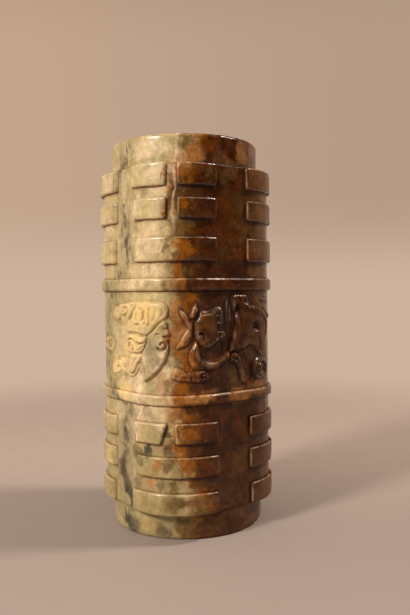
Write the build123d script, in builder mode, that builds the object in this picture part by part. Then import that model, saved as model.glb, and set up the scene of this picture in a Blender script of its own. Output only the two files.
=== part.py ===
# A carved jade cong: a rounded square tube of stone with a round collar at each end,
# the eight trigrams round its corners in two tiers, and a frieze of dragons between two bands.
# Each carved zone is a solid of its own and meets the next one face to face, with no joint line.
# Millimetres. Z runs up the bore, and the foot stands on Z = 0. The flats face X and Y.
from build123d import *
import os

os.makedirs("parts", exist_ok=True)

# Plan of the stone: the face of the block is what the bands, bars and dragons still reach.
# The ground between the bars and behind the dragons is cut back from it, and each collar
# steps in from the flats of the ground. Each side is flat in its middle and round towards
# its corners. The wall is measured at the mouth.
block_width = 84.0
flat_width = 20.8
groove_depth = 1.8
frieze_depth = 1.2
bottom_collar_step = 0.2
top_collar_step = 1.2
mouth_wall_thickness = 9.0

# Bars of the trigrams: each wraps a corner and stops short of the plain strip up each flat
strip_width = 19.4
bar_gap = 5.4

# Heights of the zones, from the foot up
bottom_collar_height = 13.6
lower_bottom_bar_height = 10.6
lower_bottom_groove_height = 7.8
lower_middle_bar_height = 10.0
lower_middle_groove_height = 6.4
lower_top_bar_height = 10.1
lower_top_groove_height = 8.6
lower_band_height = 5.2
frieze_height = 50.5
upper_band_height = 6.2
upper_bottom_groove_height = 8.3
upper_bottom_bar_height = 11.6
upper_middle_groove_height = 8.9
upper_middle_bar_height = 10.1
upper_top_groove_height = 5.8
upper_top_bar_height = 10.9
top_collar_height = 15.4

# Worn edges
bar_edge_radius = 0.5
rim_radius = 1.6
mouth_radius = 1.0

# Sizes that follow from the plan
half_block = block_width / 2
block_corner_radius = (block_width - flat_width) / 2
ground_width = block_width - 2 * groove_depth
bottom_collar_radius = ground_width / 2 - bottom_collar_step
top_collar_radius = ground_width / 2 - top_collar_step
bore_radius = top_collar_radius - mouth_wall_thickness
ground_corner_radius = block_corner_radius - groove_depth
frieze_width = block_width - 2 * frieze_depth
frieze_corner_radius = block_corner_radius - frieze_depth

# Levels that follow from the heights
lower_bottom_bar_base = bottom_collar_height
lower_middle_bar_base = lower_bottom_bar_base + lower_bottom_bar_height + lower_bottom_groove_height
lower_top_bar_base = lower_middle_bar_base + lower_middle_bar_height + lower_middle_groove_height
lower_band_base = lower_top_bar_base + lower_top_bar_height + lower_top_groove_height
frieze_base = lower_band_base + lower_band_height
upper_band_base = frieze_base + frieze_height
upper_tier_base = upper_band_base + upper_band_height
upper_bottom_bar_base = upper_tier_base + upper_bottom_groove_height
upper_middle_bar_base = upper_bottom_bar_base + upper_bottom_bar_height + upper_middle_groove_height
upper_top_bar_base = upper_middle_bar_base + upper_middle_bar_height + upper_top_groove_height
top_collar_base = upper_top_bar_base + upper_top_bar_height

# Round collars with softened rims, open to the bore
with BuildPart() as bottom_collar:
    with BuildSketch(Plane.XY):
        Circle(bottom_collar_radius)
        Circle(bore_radius, mode=Mode.SUBTRACT)
    extrude(amount=bottom_collar_height)
    foot_edges = bottom_collar.edges().group_by(Axis.Z)[0].sort_by(SortBy.RADIUS)
    fillet(foot_edges[0], mouth_radius)
    rim_edges = bottom_collar.edges().group_by(Axis.Z)[0].sort_by(SortBy.RADIUS)
    fillet(rim_edges[-1], rim_radius)

bottom_collar.part.label = "bottom_collar"
export_step(bottom_collar.part, "parts/bottom_collar.step")

with BuildPart() as top_collar:
    with BuildSketch(Plane.XY.offset(top_collar_base)):
        Circle(top_collar_radius)
        Circle(bore_radius, mode=Mode.SUBTRACT)
    extrude(amount=top_collar_height)
    lip_edges = top_collar.edges().group_by(Axis.Z)[-1].sort_by(SortBy.RADIUS)
    fillet(lip_edges[0], mouth_radius)
    rim_edges = top_collar.edges().group_by(Axis.Z)[-1].sort_by(SortBy.RADIUS)
    fillet(rim_edges[-1], rim_radius)

top_collar.part.label = "top_collar"
export_step(top_collar.part, "parts/top_collar.step")

# Grounds of the two tiers and of the frieze: rounded square tubes round the bore
grounds = {
    "lower_tier": (bottom_collar_height, lower_band_base, ground_width, ground_corner_radius),
    "frieze_ground": (frieze_base, upper_band_base, frieze_width, frieze_corner_radius),
    "upper_tier": (upper_tier_base, top_collar_base, ground_width, ground_corner_radius),
}
for ground_name, (base, top, width, radius) in grounds.items():
    with BuildPart() as ground:
        with BuildSketch(Plane.XY.offset(base)):
            RectangleRounded(width, width, radius)
            Circle(bore_radius, mode=Mode.SUBTRACT)
        extrude(amount=top - base)

    ground.part.label = ground_name
    export_step(ground.part, f"parts/{ground_name}.step")

# Raised bands above and below the frieze, at the full width of the block
bands = {
    "lower_band": (lower_band_base, lower_band_height),
    "upper_band": (upper_band_base, upper_band_height),
}
for band_name, (base, height) in bands.items():
    with BuildPart() as band:
        with BuildSketch(Plane.XY.offset(base)):
            RectangleRounded(block_width, block_width, block_corner_radius)
        extrude(amount=height)
        fillet(band.edges().filter_by(Plane.XY), bar_edge_radius)
        with BuildSketch(Plane.XY.offset(base)):
            Circle(bore_radius)
        extrude(amount=height, mode=Mode.SUBTRACT)

    band.part.label = band_name
    export_step(band.part, f"parts/{band_name}.step")

# Corners and faces follow each other by quarter turns, anticlockwise from above
quarter_turns_degrees = (0, 90, 180, 270)

# Trigrams read downwards: a whole bar wraps its corner, a broken one has a gap in the middle
whole = True
broken = False
corner_names = ("back_right", "back_left", "front_left", "front_right")
upper_trigrams = {
    "front_left": (broken, broken, whole),
    "back_left": (whole, whole, broken),
    "back_right": (whole, broken, whole),
    "front_right": (broken, broken, broken),
}
lower_trigrams = {
    "front_left": (broken, whole, whole),
    "back_left": (whole, whole, whole),
    "back_right": (broken, whole, broken),
    "front_right": (whole, broken, broken),
}
upper_rows = (
    ("top", upper_top_bar_base, upper_top_bar_height),
    ("middle", upper_middle_bar_base, upper_middle_bar_height),
    ("bottom", upper_bottom_bar_base, upper_bottom_bar_height),
)
lower_rows = (
    ("top", lower_top_bar_base, lower_top_bar_height),
    ("middle", lower_middle_bar_base, lower_middle_bar_height),
    ("bottom", lower_bottom_bar_base, lower_bottom_bar_height),
)
tiers = {"upper": (upper_trigrams, upper_rows), "lower": (lower_trigrams, lower_rows)}

# A bar is the stone left between the ground and the face of the block at one corner
for tier_name, (trigrams, rows) in tiers.items():
    for corner_name, turn in zip(corner_names, quarter_turns_degrees):
        for (row_name, base, height), line in zip(rows, trigrams[corner_name]):
            bar_plane = Plane.XY.offset(base).rotated((0, 0, turn))
            with BuildPart() as bar:
                with BuildSketch(bar_plane):
                    RectangleRounded(block_width, block_width, block_corner_radius)
                extrude(amount=height)
                fillet(bar.edges().filter_by(Plane.XY), bar_edge_radius)
                with BuildSketch(bar_plane):
                    with Locations((strip_width / 2, strip_width / 2)):
                        Rectangle(half_block, half_block, align=(Align.MIN, Align.MIN))
                    if line is broken:
                        Rectangle(bar_gap, 2 * block_width, rotation=-45, mode=Mode.SUBTRACT)
                extrude(amount=height, mode=Mode.INTERSECT)
                with BuildSketch(bar_plane):
                    RectangleRounded(ground_width, ground_width, ground_corner_radius)
                extrude(amount=height, mode=Mode.SUBTRACT)

            bar_name = f"{tier_name}_{corner_name}_bar_{row_name}"
            bar.part.label = bar_name
            export_step(bar.part, f"parts/{bar_name}.step")

# Outlines of the two dragons, seen square to their faces. Across is a share of half the block's
# width, from the middle of the face to the right, and up is a share of the frieze's height.
coiled_dragon_shares = {
    "mane": (
        (0.73, 0.79), (0.69, 0.88), (0.56, 0.90), (0.33, 0.91), (0.10, 0.90), (-0.10, 0.90),
        (-0.26, 0.87), (-0.31, 0.77), (-0.21, 0.69), (-0.02, 0.66), (0.12, 0.62), (0.24, 0.60),
        (0.38, 0.58), (0.49, 0.58), (0.58, 0.62), (0.66, 0.69),
    ),
    "head": (
        (0.54, 0.56), (0.60, 0.60), (0.67, 0.65), (0.73, 0.61), (0.73, 0.49), (0.70, 0.36),
        (0.65, 0.25), (0.56, 0.16), (0.44, 0.11), (0.43, 0.19), (0.42, 0.27), (0.46, 0.37),
        (0.51, 0.47),
    ),
    "ear": (
        (0.48, 0.52), (0.45, 0.45), (0.40, 0.40), (0.31, 0.37), (0.21, 0.39), (0.15, 0.45),
        (0.16, 0.52), (0.24, 0.56), (0.36, 0.55), (0.46, 0.55),
    ),
    "haunch": (
        (0.39, 0.29), (0.34, 0.20), (0.24, 0.16), (0.10, 0.18), (-0.05, 0.15), (-0.19, 0.15),
        (-0.26, 0.23), (-0.21, 0.32), (-0.10, 0.36), (0.02, 0.36), (0.12, 0.33), (0.21, 0.35),
        (0.32, 0.35),
    ),
    "paw": (
        (-0.38, 0.54), (-0.29, 0.55), (-0.21, 0.49), (-0.23, 0.41), (-0.33, 0.38), (-0.45, 0.41),
        (-0.51, 0.48),
    ),
}
striding_dragon_shares = {
    "head": (
        (-0.46, 0.81), (-0.33, 0.83), (-0.21, 0.86), (-0.15, 0.80), (-0.16, 0.69), (-0.12, 0.59),
        (-0.18, 0.51), (-0.30, 0.46), (-0.40, 0.45), (-0.48, 0.50), (-0.52, 0.59), (-0.52, 0.71),
    ),
    "ear": ((-0.60, 0.67), (-0.58, 0.58), (-0.64, 0.49), (-0.72, 0.44), (-0.69, 0.53)),
    "body": (
        (-0.50, 0.47), (-0.55, 0.47), (-0.59, 0.39), (-0.57, 0.31), (-0.48, 0.25), (-0.33, 0.23),
        (-0.19, 0.25), (-0.12, 0.31), (-0.15, 0.35), (-0.26, 0.31), (-0.38, 0.30), (-0.46, 0.33),
        (-0.48, 0.40),
    ),
    "haunch": (
        (0.01, 0.96), (0.10, 0.97), (0.20, 0.96), (0.23, 0.88), (0.33, 0.85), (0.45, 0.83),
        (0.55, 0.76), (0.57, 0.63), (0.53, 0.51), (0.42, 0.45), (0.30, 0.48), (0.18, 0.51),
        (0.12, 0.42), (0.04, 0.42), (-0.06, 0.41), (-0.02, 0.54), (0.04, 0.68), (-0.01, 0.81),
    ),
    "paw": (
        (-0.72, 0.21), (-0.69, 0.26), (-0.62, 0.24), (-0.55, 0.20), (-0.47, 0.20), (-0.39, 0.19),
        (-0.40, 0.14), (-0.47, 0.12), (-0.58, 0.13), (-0.66, 0.14),
    ),
    "claw": (
        (-0.02, 0.36), (0.03, 0.38), (0.10, 0.35), (0.14, 0.27), (0.18, 0.15), (0.12, 0.09),
        (0.09, 0.19), (0.05, 0.27),
    ),
    "tail": (
        (0.31, 0.25), (0.38, 0.32), (0.49, 0.31), (0.58, 0.24), (0.57, 0.15), (0.47, 0.10),
        (0.36, 0.12), (0.30, 0.18),
    ),
}
face_dragons = {
    "front": striding_dragon_shares,
    "right": coiled_dragon_shares,
    "back": striding_dragon_shares,
    "left": coiled_dragon_shares,
}

# Each raised part of a dragon is the stone left proud inside its outline
for (face_name, dragon_shares), turn in zip(face_dragons.items(), quarter_turns_degrees):
    outward = Vector(0, -1, 0).rotate(Axis.Z, turn)
    across = Vector(1, 0, 0).rotate(Axis.Z, turn)
    face_plane = Plane(outward * half_block + Vector(0, 0, frieze_base), x_dir=across, z_dir=outward)
    for part_name, outline_shares in dragon_shares.items():
        with BuildPart() as relief:
            with BuildSketch(face_plane):
                with BuildLine():
                    Spline(*[(u * half_block, v * frieze_height) for u, v in outline_shares], periodic=True)
                make_face()
            extrude(amount=-half_block)
            with BuildSketch(Plane.XY.offset(frieze_base)):
                RectangleRounded(block_width, block_width, block_corner_radius)
                RectangleRounded(frieze_width, frieze_width, frieze_corner_radius, mode=Mode.SUBTRACT)
            extrude(amount=frieze_height, mode=Mode.INTERSECT)

        relief_name = f"{face_name}_dragon_{part_name}"
        relief.part.label = relief_name
        export_step(relief.part, f"parts/{relief_name}.step")
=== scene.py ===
import math
from collections import namedtuple

import bmesh
import bpy
import numpy as np
from bpy.props import FloatProperty, FloatVectorProperty, PointerProperty
from mathutils import Matrix, Vector


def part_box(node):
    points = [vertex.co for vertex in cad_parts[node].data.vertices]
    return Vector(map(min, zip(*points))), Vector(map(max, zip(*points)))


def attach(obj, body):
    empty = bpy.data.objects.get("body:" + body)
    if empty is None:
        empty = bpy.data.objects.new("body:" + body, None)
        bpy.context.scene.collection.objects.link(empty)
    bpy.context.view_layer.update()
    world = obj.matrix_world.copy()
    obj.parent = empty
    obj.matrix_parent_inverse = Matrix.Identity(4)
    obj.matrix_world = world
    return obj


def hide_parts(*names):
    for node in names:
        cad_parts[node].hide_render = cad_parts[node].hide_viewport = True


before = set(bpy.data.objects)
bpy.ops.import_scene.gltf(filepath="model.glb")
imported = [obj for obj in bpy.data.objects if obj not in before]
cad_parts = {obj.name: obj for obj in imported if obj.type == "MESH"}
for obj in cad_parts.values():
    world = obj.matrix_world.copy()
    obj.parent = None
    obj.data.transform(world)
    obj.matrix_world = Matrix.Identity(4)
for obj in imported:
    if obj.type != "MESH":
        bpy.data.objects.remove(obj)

bl_info = {
    "name": "Jade Cong Tube",
    "version": (1, 0, 0),
    "blender": (4, 5, 0),
    "location": "View3D > Sidebar > Jade Cong",
    "description": "Builds a carved jade cong tube with trigram bars and a dragon frieze",
    "category": "Add Mesh",
}

mm = 0.001


# Section of the stone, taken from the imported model
def half_width(node):
    """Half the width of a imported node, in millimetres."""
    low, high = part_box(node)
    return (high.x - low.x) / 2 / mm


def node_heights(node):
    """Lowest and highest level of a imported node, in millimetres."""
    low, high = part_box(node)
    return low.z / mm, high.z / mm


# Half the flat part of each face and the bore's radius, in mm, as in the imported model
flat_half = 10.4
bore_radius = 30.0
ground_half = half_width("upper_tier")
block_proud = half_width("upper_band") - ground_half
frieze_proud = half_width("frieze_ground") - ground_half
ground_radius = ground_half - flat_half
face_girth = 2 * (flat_half + ground_radius * math.pi / 4)
whole_girth = 4 * face_girth
corner_along = face_girth / 2
face_numbers = {"front": 0, "right": 1, "back": 2, "left": 3}

# Half the plain strip between two corners' bars, in mm
strip_half = 9.7

# Closer than this counts as touching, in mm or as a share
near_nought = 0.01


def wrap(along, height, proud):
    """Bend flat points round the stone's rounded square section. Returns rows of x, y, z in mm."""
    face = np.round(along / face_girth)
    across = along - face * face_girth
    bend = np.clip(np.abs(across) - flat_half, 0, None) / ground_radius
    reach = ground_radius + proud
    sideways = np.sign(across) * np.where(
        bend > 0, flat_half + reach * np.sin(bend), np.abs(across)
    )
    outwards = flat_half + reach * np.cos(bend)
    turn = face * math.pi / 2
    x = sideways * np.cos(turn) + outwards * np.sin(turn)
    y = sideways * np.sin(turn) - outwards * np.cos(turn)
    return np.stack([x, y, height], axis=-1)


# Slow waves that hand grinding left in every face, the same wherever two pieces meet
wave_maker = np.random.default_rng(11)
wave_count = 14
most_waves_round = 30
steepest_wave = 0.22
hand_waves = [
    (
        int(wave_maker.integers(2, most_waves_round)),
        wave_maker.uniform(-steepest_wave, steepest_wave),
        wave_maker.uniform(0, 2 * math.pi),
    )
    for _ in range(wave_count)
]


def unevenness(along, height):
    """How far the hand-ground face lies from true, in shares from about -1 to 1."""
    girth_angle = 2 * math.pi * along / whole_girth
    total = sum(
        np.sin(count * girth_angle + rise * height + phase) for count, rise, phase in hand_waves
    )
    usual_peak = 1.6 * math.sqrt(wave_count)
    return total / usual_peak


def patches(along, height, middle, swing, low=0.0, high=1.0):
    """Uneven patches about a middle share, as hands and time leave them."""
    return np.clip(middle + swing * unevenness(along, height), low, high)


def smooth_line(points, closed=False, samples=7):
    """Points along a smooth line through a few given ones."""
    points = np.array(points, float)
    if closed:
        padded = np.vstack([points[-1:], points, points[:2]])
    else:
        padded = np.vstack([2 * points[0] - points[1], points, 2 * points[-1] - points[-2]])
    line = []
    for before, start, end, after in zip(padded[:-3], padded[1:-2], padded[2:-1], padded[3:]):
        slope = end - before
        bend = 2 * before - 5 * start + 4 * end - after
        twist = 3 * start - 3 * end + after - before
        for t in np.linspace(0, 1, samples, endpoint=False):
            line.append(0.5 * (2 * start + slope * t + bend * t**2 + twist * t**3))
    line.append(padded[-2])
    return np.array(line)


def line_distance(along, height, line):
    """Distance of each point from a line, and how far along the line its nearest place is."""
    nearest = np.full(along.shape, 1e9)
    place = np.zeros(along.shape)
    count = len(line) - 1
    for number, (start, end) in enumerate(zip(line[:-1], line[1:])):
        step = end - start
        size = float(step @ step) + 1e-12
        share = ((along - start[0]) * step[0] + (height - start[1]) * step[1]) / size
        share = np.clip(share, 0, 1)
        distance = np.hypot(
            along - start[0] - share * step[0], height - start[1] - share * step[1]
        )
        closer = distance < nearest
        nearest = np.where(closer, distance, nearest)
        place = np.where(closer, (number + share) / count, place)
    return nearest, place


def depth_inside(along, height, outline):
    """Distance inside a closed outline, negative outside it."""
    distance, _ = line_distance(along, height, outline)
    inside = np.zeros(along.shape, bool)
    for start, end in zip(outline[:-1], outline[1:]):
        spans = (start[1] > height) != (end[1] > height)
        rise = end[1] - start[1]
        crossing = start[0] + (height - start[1]) * (end[0] - start[0]) / (rise if rise else 1e-9)
        inside ^= spans & (along < crossing)
    return np.where(inside, distance, -distance)


# What the carver cut: a form stands proud inside its outline, and lines and hollows are cut in it
Form = namedtuple("Form", "outline proud shoulder")
Line = namedtuple("Line", "points width depth", defaults=(0.9, 0.6))
Hollow = namedtuple("Hollow", "centre across up depth")
Curl = namedtuple("Curl", "centre radius turns start width depth")


def bell(distance, reach):
    """1 where the distance is nought, and fading out past the reach."""
    return np.exp(-((distance / reach) ** 2))


curl_points = 40
curl_winding = 0.82


def curl_line(curl):
    """The line of a curl, from its outside inwards."""
    steps = np.linspace(0, 1, curl_points)
    angle = math.radians(curl.start) + steps * curl.turns * 2 * math.pi
    radius = curl.radius * (1 - curl_winding * steps)
    return np.array(curl.centre) + np.stack(
        [radius * np.cos(angle), radius * np.sin(angle)], axis=-1
    )


# A line fades in and out over an eighth of its length, down to this share of its depth
line_ends = 8
least_line = 0.35


def cut_depth(cut, along, height):
    """Millimetres that one cut takes off. A negative depth leaves a ridge instead."""
    if isinstance(cut, Hollow):
        sideways = (along - cut.centre[0]) / cut.across
        upwards = (height - cut.centre[1]) / cut.up
        return cut.depth * np.exp(-((sideways**2 + upwards**2) ** 1.5))
    line = curl_line(cut) if isinstance(cut, Curl) else smooth_line(cut.points)
    distance, place = line_distance(along, height, line)
    taper = np.clip(np.minimum(place, 1 - place) * line_ends, least_line, 1)
    return cut.depth * taper * bell(distance, 0.5 * cut.width * taper)


# A form domes a little past its shoulder, over this many mm, and is worn most near its rim
dome_rise = 0.12
dome_span = 3
rim_place = 0.75
rim_reach = 0.35
far_below = -2.0

# A form is cut at its full depth where it stands this much proud, in mm
full_cut_height = 0.4


def carved_height(along, height, forms, cuts):
    """Height of the carving over the frieze's ground, and how near each point is to a rim."""
    top = np.full(along.shape, far_below)
    rim = np.zeros(along.shape)
    for form in forms:
        depth = depth_inside(along, height, smooth_line(form.outline, closed=True))
        slope = np.clip(depth / form.shoulder, -1, 1)
        dome = dome_rise * np.clip(depth - form.shoulder, 0, dome_span) / dome_span
        level = form.proud * (np.sin(slope * math.pi / 2) + dome)
        near = bell(depth / form.shoulder - rim_place, rim_reach)
        rim = np.where(level > top, near, rim)
        top = np.maximum(top, level)
    raised = np.clip(top / full_cut_height, 0, 1)
    for cut in cuts:
        top = top - raised * cut_depth(cut, along, height)
    return top, rim


# The coiled dragon of the left and right faces: along from the face's middle, height from the foot
coiled_dragon = {
    "mane": (
        (
            Form(
                (
                    (33, 112.5), (32.6, 115.2), (30.6, 117.2), (26, 117.9), (20, 117.9),
                    (14, 118.1), (8, 117.6), (3, 117), (-0.6, 116.4), (-1, 113.5), (0.4, 110.4),
                    (2.6, 107), (5, 104.4), (6.6, 102.4), (10, 102.2), (14, 102.2), (18, 101.4),
                    (21.6, 101), (24.4, 103), (27.6, 106.4), (30.4, 108.6), (32.4, 110.2),
                ),
                1.4, 1.5,
            ),
            Form(
                (
                    (-8.6, 110.4), (-8.2, 113.8), (-5.6, 116), (-2.4, 115.6), (-0.4, 113),
                    (-0.8, 109.6), (-3.4, 107.8), (-6.6, 108.2),
                ),
                0.5, 2.2,
            ),
        ),
        (
            Line(((20.8, 114.4), (20.2, 110), (21.2, 105.6)), 1.3, 0.65),
            Line(((24, 115.8), (23.2, 111.6), (23.4, 107.6), (22, 105.2)), 1.1, 0.6),
            Line(((27, 114.6), (26.4, 111), (25, 107.6)), 1.2, 0.35),
            Line(((30, 115), (30.4, 112), (28.6, 109.2)), 1.2, 0.35),
            Line(((22.2, 115), (21.8, 110.6), (21.6, 107)), 1.0, -0.3),
            Line(((17.2, 114.6), (19.4, 113.6), (19.8, 110), (18.4, 107.6)), 1.0, 0.6),
            Line(((14.2, 111.8), (13.8, 113.8), (15.6, 115.4)), 0.9, 0.6),
            Line(((16, 112.6), (15.4, 110), (15.8, 107.8)), 1.0, 0.4),
            Line(((12.8, 113), (11.4, 110.4), (8.6, 108.4)), 1.3, 1.2),
            Line(((14.4, 106.6), (17.4, 106.6)), 0.9, 1.2),
            Line(
                ((0.6, 111.4), (3.6, 110.4), (6.8, 111.4), (8, 113.6), (5.6, 114.8), (2.4, 114.4)),
                1.1, 0.8,
            ),
            Hollow((4.6, 112.8), 2.4, 1.1, -0.5),
            Line(((8.6, 116.8), (12, 115.4), (13.4, 117.6)), 0.9, 0.5),
            Line(((16, 117.2), (22, 116.6), (28, 117), (31.4, 115.4), (32, 112.4)), 0.8, 0.4),
        ),
    ),
    "ear": (
        (
            Form(
                (
                    (21.4, 101), (21.2, 98.2), (19.8, 95), (17.6, 92.8), (14.2, 92.2),
                    (10.4, 92.4), (7.4, 93.6), (6, 96.4), (6.4, 99.6), (8.6, 101.6), (12, 101.9),
                    (16, 101.4), (19, 100.6),
                ),
                1.45, 1.2,
            ),
        ),
        (
            Line(
                ((7.8, 98), (10.4, 99.2), (12.6, 98.6), (14.8, 97.6), (18, 97.2), (21, 98)),
                1.0, 1.2,
            ),
            Curl((11.6, 95.2), 2.5, 1.1, 90, 1.0, 1.2),
            Hollow((11.8, 95.2), 0.9, 1.1, -0.5),
            Line(((15.4, 93.6), (17.6, 94.4), (19.4, 96)), 0.9, 0.5),
        ),
    ),
    "head": (
        (
            Form(
                (
                    (21.6, 101.2), (24.4, 103.4), (27.8, 106.8), (30.6, 108.8), (32.4, 107.6),
                    (32.8, 104.8), (33.8, 102), (33, 99.4), (33.2, 95.4), (31.8, 90), (28.8, 85),
                    (24.8, 81.2), (20.4, 78.2), (18.8, 79.6), (18.4, 83), (17.2, 86),
                    (18, 89.4), (18.6, 92.8), (20.4, 96), (21.4, 98.6),
                ),
                1.5, 1.5,
            ),
        ),
        (
            Curl((29.8, 96.6), 2.8, 1.15, 170, 1.2, 1.5),
            Hollow((30.2, 97), 1.0, 1.0, -0.5),
            Line(((26.8, 102), (29, 102.2)), 0.9, 0.9),
            Line(((34, 101.4), (32, 100.6), (30.2, 100.9)), 1.3, 1.2),
            Line(((28.4, 106.4), (31, 104.6), (33, 104.6)), 1.0, 0.7),
            Line(((19.6, 87.8), (17.4, 87), (16.4, 84.8), (17.2, 82.4), (18.8, 80.2)), 1.4, 1.5),
            Line(((20.4, 86), (20.6, 83), (20, 80.6)), 1.0, 0.5),
            Line(((24.4, 99), (23.6, 94), (24.4, 88), (24, 84)), 3.2, -0.2),
        ),
    ),
    "haunch": (
        (
            Form(
                (
                    (18.6, 92), (17.8, 88.6), (16.4, 86), (14.6, 83), (12.4, 80.8), (9.8, 80),
                    (7.6, 80.4), (6.8, 82.6), (7.4, 86), (8.2, 89.4), (9.6, 92.2), (13.6, 92),
                ),
                1.2, 1.4,
            ),
            Form(
                (
                    (8, 84.4), (6.6, 81.4), (4.6, 80.4), (2, 81), (-0.6, 80.4), (-3, 79.2),
                    (-6.4, 79), (-9.4, 80), (-10.6, 83), (-9.8, 86), (-7.4, 88.8), (-4, 88.2),
                    (-1.6, 89.6), (2, 90.2), (6, 89.6), (8, 88),
                ),
                0.6, 2.4,
            ),
        ),
        (
            Line(((17.4, 89), (15, 86), (12.8, 82.8), (10.4, 81.6), (8.6, 82.6)), 1.0, 1.0),
            Line(((14.6, 90.4), (12.4, 87.4), (10.6, 85)), 0.9, 0.45),
            Hollow((3.6, 86.8), 2.2, 0.8, -0.3),
            Line(((-6.6, 80.2), (-3.4, 80), (-0.4, 81.4), (2.4, 82)), 1.4, 1.1),
            Line(((-8, 86), (-5.6, 87.4), (-3.4, 86)), 1.0, 0.6),
            Line(((-1.8, 88.6), (-0.6, 86.4), (1.4, 84.6), (5, 84.4)), 1.0, 0.7),
            Line(((-5, 83.4), (-2.6, 84.6), (-0.8, 83)), 0.9, 0.5),
        ),
    ),
    "paw": (
        (
            Form(
                (
                    (-7, 98.4), (-6.6, 95), (-8, 92), (-11, 91), (-15.6, 91.4), (-19.8, 93),
                    (-21.6, 96.4), (-18, 99.6), (-12, 100.6),
                ),
                0.4, 2.6,
            ),
        ),
        (
            Curl((-11.6, 95.2), 2.6, 1.2, 10, 1.1, 0.5),
            Line(((-20, 96), (-16, 96.4)), 1.1, 0.35),
        ),
    ),
}

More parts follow.
